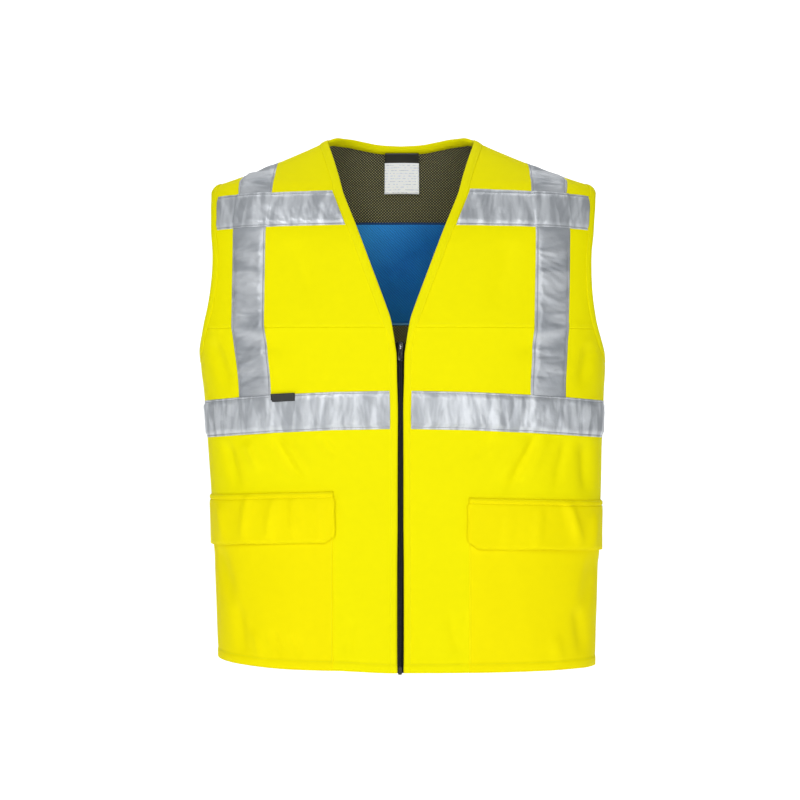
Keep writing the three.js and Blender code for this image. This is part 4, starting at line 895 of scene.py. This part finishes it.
for word, hand in HANDS:
    columns = between(range(POCKET, SIDE + 1), 0.0045, FRONT_SPANS[1:])
    columns = np.concatenate([[2, 2.01, 2.02, 2.03, 2.04], columns[1:]])
    rows = with_hem(rows_between(0, MOUTH, 0.0045))
    place, normal = surface(FRONT, hand * columns, rows)
    span = (columns - POCKET)[:, None] / 4
    climb = ((rows - HEM_SEW) / (MOUTH - HEM_SEW))[None, :]
    belly = np.clip(np.sin(np.clip(span, 0, 1) * math.pi), 0, 1) ** 0.5 * np.clip(climb, 0, 1) ** 0.6
    waves = 0.5 + 0.5 * lattice(place[..., 0] / 0.045, place[..., 2] / 0.12, 80 + hand)
    groove = -0.0003 * np.exp(-((columns - 2.04) / 0.012) ** 2)[:, None]
    rise = 0.0012 + 0.0022 * belly * waves + groove + hem_band(rows)[None, :]
    rise = lerp(-0.0003, rise, ease(columns, 2.0, 2.03)[:, None])
    sewn_sheet(f"pocket_{word}_cloth", raised(FRONT, place, normal, rise), normal, POCKET_WALL, double_cloth,
               "yellow_cloth", rests_on=[f"front_panel_{word}_cloth"])
    pocket_lines.append(sewn_line(FRONT, [hand * 2.03], np.linspace(1.0, 2.2, 60), 0.0011))
    pocket_lines.append(sewn_line(FRONT, hand * columns[4:-1], [HEM_SEW], 0.0009))

    columns = between(range(POCKET, SIDE + 1), 0.0034, FRONT_SPANS[1:])
    ridge_rows = [3.37, 3.42, RIDGE, 3.5, 3.54, 3.6, 3.68, 3.76, 3.84, 3.9, 3.95, 3.98, 4.0]
    rows = np.concatenate([np.linspace(2, 3.3, 15), ridge_rows])
    place, normal = surface(FRONT, hand * columns, rows)
    hang = np.clip((RIDGE - rows) / (RIDGE - 2), 0, 1)[None, :]
    size = columns[:, None]
    corner = ease(size, 4.6, 6.0) * (0.6 if hand > 0 else 1.0) + 0.25 * ease(size, 2.5, 2.0)
    ripple = lattice(place[..., 0] / 0.024, hang * 0.8 + 0 * size, 90 + hand)
    base = 0.0040 - 0.0027 * ease(size, 4.3, 5.9) + 0 * hang
    rise = base + hang * (0.0012 + 0.0046 * corner) + 0.0020 * ripple * hang
    rise = rise + folded(FLAP_CREASES[hand], place[..., 0], place[..., 2])
    rise = np.maximum(rise, base) - 0.0016 * np.exp(-((rows - RIDGE) / 0.05) ** 2)[None, :]
    rise = lerp(rise, -0.0004, (np.clip((rows - 3.70) / 0.30, 0, 1) ** 2.2)[None, :])
    place = raised(FRONT, place, normal, rise)
    place[..., 2] += ease(size, 2.16, 2.0) * ease(hang, 0.80, 1.0) * 0.008 + 0.0015 * ripple * hang ** 3
    bowed = 0.0030 * np.sin(hang * 2.9) + 0.0008 * np.sin(hang * 9.0)
    place[..., 0] -= hand * ease(size, 2.5, 2.0) * bowed
    sewn_sheet(f"flap_{word}_cloth", place, normal, FLAP_WALL, double_cloth, "yellow_cloth",
               rests_on=[f"pocket_{word}_cloth"])
    for row in (17, 23):
        pocket_lines.append((place[1:-1, row] + normal[1:-1, row] * 0.0001, normal[1:-1, row]))
thread_rows("pocket_stitching", pocket_lines, yellow_thread)

# Bindings: a strip of the same yellow cloth, folded round the cut edges of the neck and the armholes and
# sewn through, so it stands a little proud with soft rounded folds.
STRIP_WALL, PANEL_STACK, BACK_STACK = 0.0006, 0.0014, 0.0026
# The binding's faint glow is painted light that stands in for its fluorescence.
binding_cloth = woven("binding_cloth", (0.91, 0.845, 0.0010), (0.86, 0.80, 0.0013), 0.6, 0.0006,
                      150, 0.0006, 0.04, 0.02)


def leg_place(place, into, reach):
    """A place on the cloth at a reach from its edge, and the cloth's normal there."""
    end = place + into * reach
    hand = np.where(end[..., :1] < 0, -1, 1) * [1, 0, 0] + [0, 1, 1]
    end = seat(end * hand)
    return end * hand, unit(gradient(end)) * hand


def relief_of(place):
    return np.where(place[..., 1] < 0, relief(FRONT, place), relief(BACK, place))


def folded_strip(name, place, normal, stack, closed, turn, width, rests_on):
    """A strip folded over an edge: its visible leg, round the edge, and its leg inside the garment. It
    gives back the line of its seam."""
    if closed:
        along = unit(np.roll(place, -1, 0) - np.roll(place, 1, 0))
    else:
        along = unit(np.gradient(place, axis=0))
    into = unit(np.cross(normal, along)) * turn
    steps = np.arange(len(place))
    gathers = 0.0003 * lattice(steps * 0.45, np.zeros(len(place)), 17)[:, None]
    fade = ease(steps, 0, 9) * ease(steps[::-1], 0, 9)
    proud = (0.25 + 0.55 * fade)[:, None]
    width = width * (1 if closed else (0.35 + 0.65 * fade)[:, None])
    rings = []
    outer_leg = (1.0, 0.0002), (1.0, 0.0009), (0.93, 0.0012), (0.86, 0.0009), (0.72, 0.0016), (0.4, 0.0019)
    for reach, lift in outer_leg:
        end, facing = leg_place(place, into, width * reach)
        rings.append(end + facing * (relief_of(end)[:, None] + (lift + gathers) * proud))
        if len(rings) == 4:
            seam = rings[3] + facing * 0.0001, facing
    round_edge = (0.0, 0.0016), (0.0010, 0.0010), (0.0014, -0.0002), (0.0012, -0.0014), (0.0004, -0.0024)
    for out, lift in round_edge:
        low = lift * stack[:, None] / 0.0016 if lift < 0 else lift * proud
        out = into * out * (1 if closed else fade[:, None])
        rings.append(place + normal * (relief_of(place)[:, None] + low) - out)
    for reach in (width * 0.5, width):
        end, facing = leg_place(place, into, reach)
        rings.append(end + facing * (relief_of(end)[:, None] - stack[:, None] - 0.0014))
    rings = np.array(rings)
    if closed:
        rings = np.concatenate([rings, rings[:, :1]], 1)
        normal = np.concatenate([normal, normal[:1]])
    outward = np.broadcast_to(normal[None], rings.shape)
    sewn_sheet(name, rings, outward, STRIP_WALL, binding_cloth, "binding_cloth", "folded", rests_on,
               close=closed, probe=(4, rings.shape[1] // 2))
    return seam


v_rows = np.concatenate([
    between([np.interp(-0.289, [-0.296, -0.2691], [7, 8]), 8], 0.004, (0.02,)),
    rows_between(SEAM, SHOULDER, 0.004)[1:-1],
])
right, right_normal = surface(FRONT, [-1e-9], v_rows)
left, left_normal = surface(FRONT, [1e-9], v_rows)
back_edge, back_normal = surface(BACK, np.linspace(-1, 1, 61), [SHOULDER - 1e-6])
place = np.concatenate([right[0], back_edge[:, 0], left[0][::-1]])
normal = np.concatenate([right_normal[0], back_normal[:, 0], left_normal[0][::-1]])
stack = np.repeat([PANEL_STACK, BACK_STACK, PANEL_STACK], [len(v_rows), 61, len(v_rows)])
binding_seams = [folded_strip("neck_binding_strip", place, normal, stack, False, 1, 0.0112,
                              ["back_panel_cloth"])]

for word, hand in HANDS:
    y, z = armhole_at(np.linspace(-math.pi / 2, math.pi / 2, 66))
    front_edge, back_side = (seat(aside(face, np.maximum(y, 2e-4), z)) for face in (FRONT, BACK))
    place = np.concatenate([front_edge[1:-1], back_side[::-1]])
    normal = unit(gradient(place))
    place[:, 0] *= hand
    normal[:, 0] *= hand
    stack = np.repeat([PANEL_STACK, BACK_STACK], [64, 66])
    binding_seams.append(folded_strip(f"armhole_binding_{word}_strip", place, normal, stack, True, hand, 0.0100,
                                      [f"chest_panel_{word}_cloth"]))
thread_rows("binding_stitching", binding_seams, yellow_thread)

# Zip: woven tapes sewn under both front edges, and a nylon coil whose loops hook into each other down
# the middle, so the closed zip shows as one ribbed black cord in the gap.
ZIP_TOP, ZIP_FOOT, STOP_TOP = -0.2905, -0.7398, -0.7312
COIL_TOP, COIL_PITCH = -0.3005, 0.00145
ZIP_TAPE_WIDE, ZIP_TAPE_IN, ZIP_TAPE_WALL = 0.0150, 0.0019, 0.0006
ZIP_SWAY = np.array([
    (-0.740, -0.0016), (-0.690, -0.0012), (-0.620, -0.0004), (-0.560, 0.0004), (-0.470, 0.0006),
    (-0.400, 0.0009), (-0.370, 0.0004), (-0.335, 0.0), (-0.290, 0.0),
])
zip_cloth = woven("zip_cloth", (0.006, 0.006, 0.004), (0.011, 0.011, 0.008), 0.8, 0.0006, gloss=0.1)


def moulded(name, colour, roughness, metallic=0.0):
    """Moulded plastic or enamelled metal: faint mottling, a little paler in random patches."""
    material, shader = new_material(name, {"Roughness": roughness, "Metallic": metallic})
    wear, bump = mottled(material, node(material, "TexCoord", {}, "Object"), 600, 0.15, 0.0002)
    paler = tuple(c * 1.6 + 0.003 for c in colour)
    feed(material, shader, {"Base Color": two_colours(material, wear, colour, paler), "Normal": bump})
    return material


def finish_piece(bm, name, body, material, bevel=0.0, wall=0.0, node=None):
    """Makes a piece from a bmesh, with a wall to its inner side and rounded edges where they are asked for."""
    piece = put_in_scene(bm, name)
    if wall:
        give_wall(piece, wall)
    if bevel:
        edges = piece.modifiers.new("edges", "BEVEL")
        edges.width = bevel
        edges.segments = 2
        edges.limit_method = "ANGLE"
        edges.angle_limit = math.radians(50)
    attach(piece, body)
    dress(piece, material, node)


def zip_sway(z):
    return smooth_curve(ZIP_SWAY, z)


def front_y(z):
    """How far forward the body's form lies in the middle."""
    return float(across(FRONT, 0.0, np.array(z))[1])


nylon = moulded("nylon", (0.006, 0.006, 0.005), 0.42)
heights = np.linspace(ZIP_FOOT, ZIP_TOP, 150)
for word, hand in HANDS:
    inner_edge = hand * zip_sway(heights) + 0.00002
    spread = np.array([lerp(inner_edge, ZIP_TAPE_WIDE, share) for share in np.linspace(0, 1, 7)])
    place = across(FRONT, np.abs(spread), heights[None, :] + 0 * spread)
    normal = unit(gradient(place))
    place[..., 0] = hand * spread
    normal[..., 0] *= hand
    sewn_sheet(f"zip_tape_{word}_cloth", place - normal * ZIP_TAPE_IN, normal, ZIP_TAPE_WALL, zip_cloth,
               "zip_tape", held="stretched", rests_on=[f"front_panel_{word}_cloth"])

bm = bmesh.new()
for k in range(int((COIL_TOP - STOP_TOP) / COIL_PITCH)):
    z = COIL_TOP - k * COIL_PITCH
    for _, hand in HANDS:
        down = COIL_PITCH / 2 if hand > 0 else 0
        spot = Vector((hand * 0.0013 + float(zip_sway(np.array(z))), front_y(z) - 0.0002, z - down))
        shape = Matrix.Rotation(hand * 0.12, 4, "Y") @ Matrix.Diagonal((0.00185, 0.0012, 0.00060, 1))
        bmesh.ops.create_uvsphere(bm, u_segments=8, v_segments=5, radius=1,
                                  matrix=Matrix.Translation(spot) @ shape)
finish_piece(bm, "zip_coil_loops", "vest", nylon, node="zip_coil")

# Slider and pull: black enamelled castings. The slider's plates grip the coil and its cheeks turn back
# round it, its arched bridge carries the pull, and the pull hangs down over the zip by its eye.
SLIDER_HALF, SLIDER_LONG, SLIDER_TOP, HINGE_Z = 0.0043, 0.0130, -0.289, -0.296
CAST_WALL, CAST_EDGE = 0.0011, 0.0003
EYE_Z, EYE_HALF, EYE_HIGH = -0.0026, 0.0015, 0.0020
PULL_OUTLINE = (
    (0, 0.0006), (0.0022, 0.0006), (0.0028, 0.0001), (0.0028, -0.0044), (0.0025, -0.0062), (0.0024, -0.0078),
    (0.0027, -0.0110), (0.0031, -0.0145), (0.0033, -0.0163), (0.0030, -0.0178), (0.0021, -0.0190), (0, -0.0195),
)
zip_face = front_y(HINGE_Z) + 0.0004
plate_face = zip_face - 0.0003 - 0.0016
pull_face = plate_face - 0.00095 - 0.0006
enamel = moulded("enamel", (0.004, 0.004, 0.0035), 0.17)
nickel = moulded("nickel", (0.34, 0.34, 0.33), 0.22, 1.0)


def grid_of(wide, high, form):
    """A bmesh grid whose points a form puts in place, from shares of 0 to 1 each way."""
    bm = bmesh.new()
    bmesh.ops.create_grid(bm, x_segments=wide, y_segments=high, size=0.5)
    for vert in bm.verts:
        vert.co = form(vert.co.x + 0.5, vert.co.y + 0.5)
    bm.normal_update()
    return bm


def close_seam(bm):
    bmesh.ops.remove_doubles(bm, verts=bm.verts[:], dist=1e-6)


def face_front(bm):
    if sum(face.normal.y for face in bm.faces) > 0:
        bmesh.ops.reverse_faces(bm, faces=bm.faces[:])


def slider_half(share):
    """Half of the slider's width at a share of the way down from its top."""
    return SLIDER_HALF * min(1, 0.62 + 2.6 * share) * (1 - 0.25 * max(0, share - 0.35) / 0.65)


def slider_plate(u, v):
    """The front plate, with cheeks that turn back."""
    side = 2 * u - 1
    cheek = max(0, abs(side) - 0.72) / 0.28
    crown = 0.00005 * (1 - side * side)
    return Vector((side * slider_half(1 - v), plate_face - crown + 0.0011 * cheek * cheek,
                   SLIDER_TOP - SLIDER_LONG * (1 - v)))


def slider_back(u, v):
    """The plate behind the coil, the front one's mirror image."""
    spot = slider_plate(u, v)
    return Vector((spot.x, 2 * (zip_face + 0.0014) - spot.y + 0.0006, spot.z))


def slider_post(u, v):
    """The round post that holds the two plates together at the top."""
    turn = 2 * math.pi * u
    return Vector((0.0011 * math.cos(turn), lerp(plate_face + 0.0008, zip_face + 0.0052, v),
                   SLIDER_TOP - 0.0013 - 0.0011 * math.sin(turn)))


def slider_bridge(u, v):
    """The arch: up from the plate, along the zip and down again, in the thickness of its strap."""
    turn, square = math.pi * v, 0.72
    along = math.copysign(abs(math.cos(turn)) ** square, math.cos(turn)) * 0.0035
    high = abs(math.sin(turn)) ** square * 0.0032 + 0.0004 * (1 if 0 < v < 1 else 0)
    return Vector(((u - 0.5) * 0.0019, plate_face + 0.0005 - high, HINGE_Z + along))


bm = grid_of(16, 18, slider_plate)
finish_piece(bm, "slider_front_plate", "vest", enamel, CAST_EDGE, CAST_WALL, "zip_slider")
bm = grid_of(16, 18, slider_back)
bmesh.ops.reverse_faces(bm, faces=bm.faces[:])
finish_piece(bm, "slider_back_plate", "vest", enamel, CAST_EDGE, CAST_WALL)
bm = grid_of(12, 4, slider_post)
close_seam(bm)
bmesh.ops.recalc_face_normals(bm, faces=bm.faces[:])
finish_piece(bm, "slider_post", "vest", enamel)
bm = grid_of(4, 20, slider_bridge)
face_front(bm)
finish_piece(bm, "slider_bridge", "vest", nickel, 0.00025, 0.0012)

ring = np.array(PULL_OUTLINE + tuple((-x, z) for x, z in PULL_OUTLINE[-2:0:-1]) + PULL_OUTLINE[:1])
ring_run = run_along(ring, 0)


def pull_plate(u, v):
    """Between the eye's edge and the pull's own, with a shallow panel inside a raised border."""
    x, z = (np.interp(u * ring_run[-1], ring_run, ring[:, k]) for k in (0, 1))
    turn = math.atan2(z - EYE_Z, x)
    reach = (abs(math.cos(turn) / EYE_HALF) ** 4 + abs(math.sin(turn) / EYE_HIGH) ** 4) ** -0.25
    eye_x, eye_z = reach * math.cos(turn), reach * math.sin(turn) + EYE_Z
    panel = 0.00022 * float(ease(v, 0.90, 0.84) * ease(v, 0.30, 0.42) * ease(-z, 0.008, 0.010))
    return Vector((lerp(eye_x, x, v), pull_face + panel, HINGE_Z + lerp(eye_z, z, v)))


bm = grid_of(72, 14, pull_plate)
close_seam(bm)
face_front(bm)
finish_piece(bm, "pull_plate", "zip_pull", enamel, CAST_EDGE, CAST_WALL, "zip_pull")

# Bottom stop: a small moulded nylon box with grip ribs, which closes the zip just below the hem.
STOP_MIDDLE, STOP_HALF = -0.7366, (0.0029, 0.0013, 0.0054)
stop_x, stop_y = float(zip_sway(np.array(-0.737))) * 0.4, front_y(STOP_TOP) + 0.0009


def stop_box(spot):
    """A ball made square, with ribs round it."""
    across_x, across_y, up = (math.copysign(abs(c) ** 0.38, c) for c in spot)
    ribs = 0.0002 * math.cos(spot.z * math.pi * 5)
    return Vector((across_x * (STOP_HALF[0] + ribs) + stop_x, stop_y + across_y * (STOP_HALF[1] + ribs * 0.5),
                   STOP_MIDDLE + up * STOP_HALF[2]))


bm = bmesh.new()
bmesh.ops.create_uvsphere(bm, u_segments=32, v_segments=28, radius=1)
for vert in bm.verts:
    vert.co = stop_box(vert.co)
finish_piece(bm, "stop_box", "vest", nylon, node="zip_stop")

# Neck label: white satin ribbon, folded into the neck seam. It stays bare but for plain grey bars under
# a dark header, and it glows faintly in its own colours, which is painted light.
LABEL_LINE, LABEL_HEADER, LABEL_IN = 0.0042, 0.0475, 0.0084


def satin_label(name):
    # Painted light: the ribbon glows faintly in its own colours.
    material, shader = new_material(name, {"Roughness": 0.45, "Emission Strength": 0.17})
    uv = node(material, "TexCoord", {}, "UV")
    blots = node(material, "TexNoise", {"Vector": uv, "Scale": 260}, "Fac")
    ink = node(material, "Math", {0: bands(material, uv, LABEL_LINE, "Y"), 1: blots}, operation="MULTIPLY")
    bars = stepped(material, ink, 0.42, 0.50, 0.45)
    satin = two_colours(material, bars, (0.86, 0.88, 0.95), (0.30, 0.31, 0.34))
    high = node(material, "SeparateXYZ", {0: uv}, "Y")
    header = node(material, "Math", {0: high, 1: LABEL_HEADER}, operation="GREATER_THAN")
    colour = two_colours(material, header, satin, (0.012, 0.012, 0.011))
    feed(material, shader, {"Base Color": colour, "Emission Color": colour})
    return material


xs, zs = np.linspace(-0.0235, 0.0275, 18)[:, None], np.linspace(-0.0640, -0.0055, 24)[None, :]
place = across(BACK, np.abs(xs) + 0 * zs, zs + 0 * xs)
normal = unit(gradient(place))
place[..., 0] = xs
normal[..., 0] *= np.sign(xs)
curl = 0.0016 * np.sin(np.linspace(0, math.pi, 18))[:, None] * np.linspace(1, 0.2, 24)[None, :]
place = place - normal * (LABEL_IN - curl)[..., None]
sewn_sheet("neck_label_ribbon", place, normal, 0.0005, satin_label("ribbon"), "label_cloth",
           rests_on=["back_lining_mesh"])

# Side tab: a short dark woven ribbon, sewn flat over the top edge of the right waist tape. It is bare.
TAB_TOP, TAB_FOOT, TAB_LIFT = -0.3542, -0.3652, 0.0028
tab_cloth = woven("tab_cloth", (0.035, 0.035, 0.034), (0.055, 0.055, 0.053), 0.7, 0.0005)
columns, rows = -np.linspace(2.99, 2.60, 15)[::-1], np.linspace(row_at(TAB_FOOT), row_at(TAB_TOP), 8)
place, normal = surface(FRONT, columns, rows)
sewn_sheet("side_tab_ribbon", raised(FRONT, place, normal, TAB_LIFT), normal, 0.0006, tab_cloth, "tab_cloth",
           held="stretched", rests_on=["waist_tape_right_tape"])

# The stage: a pale floor that sweeps up behind the vest, and soft light from wide boxes.
FLOOR_Z, SWEEP = -1.15, 1.5
bm = bmesh.new()
bmesh.ops.create_grid(bm, x_segments=8, y_segments=48, size=0.5)
for vert in bm.verts:
    share = vert.co.y + 0.5
    turn = min(max((share - 0.55) / 0.15, 0), 1) * math.pi / 2
    flat = -4 + 9.5 * min(share, 0.55) / 0.55
    rise = max(share - 0.70, 0) * 20
    vert.co = (vert.co.x * 16, flat + SWEEP * math.sin(turn), FLOOR_Z + SWEEP * (1 - math.cos(turn)) + rise)
backdrop = put_in_scene(bm, "backdrop")
paper, _ = new_material("paper", {
    "Base Color": (0.95, 0.95, 0.95), "Roughness": 0.9, "Emission Color": (1, 1, 1), "Emission Strength": 0.50,
})
backdrop.data.materials.append(paper)

world = bpy.data.worlds.new("studio")
world.use_nodes = True
world.node_tree.nodes["Background"].inputs["Color"].default_value = (0.86, 0.95, 1.0, 1)
world.node_tree.nodes["Background"].inputs["Strength"].default_value = 0.12
bpy.context.scene.world = world
for name, spot, aim, size, power in (
    ("key_box", (-1.05, -3.3, 1.75), (0, 0, -0.37), 1.2, 60),
    ("fill_box", (0.95, -4.2, 0.1), (0, 0, -0.37), 1.4, 42),
    ("wall_light", (0.0, 1.2, 2.8), (0, 4.5, 0.3), 3.0, 110),
):
    lamp = bpy.data.objects.new(name, bpy.data.lights.new(name, "AREA"))
    lamp.data.size = size
    lamp.data.energy = power
    lamp.location = spot
    lamp.rotation_euler = (Vector(aim) - Vector(spot)).to_track_quat("-Z", "Y").to_euler()
    bpy.context.collection.objects.link(lamp)
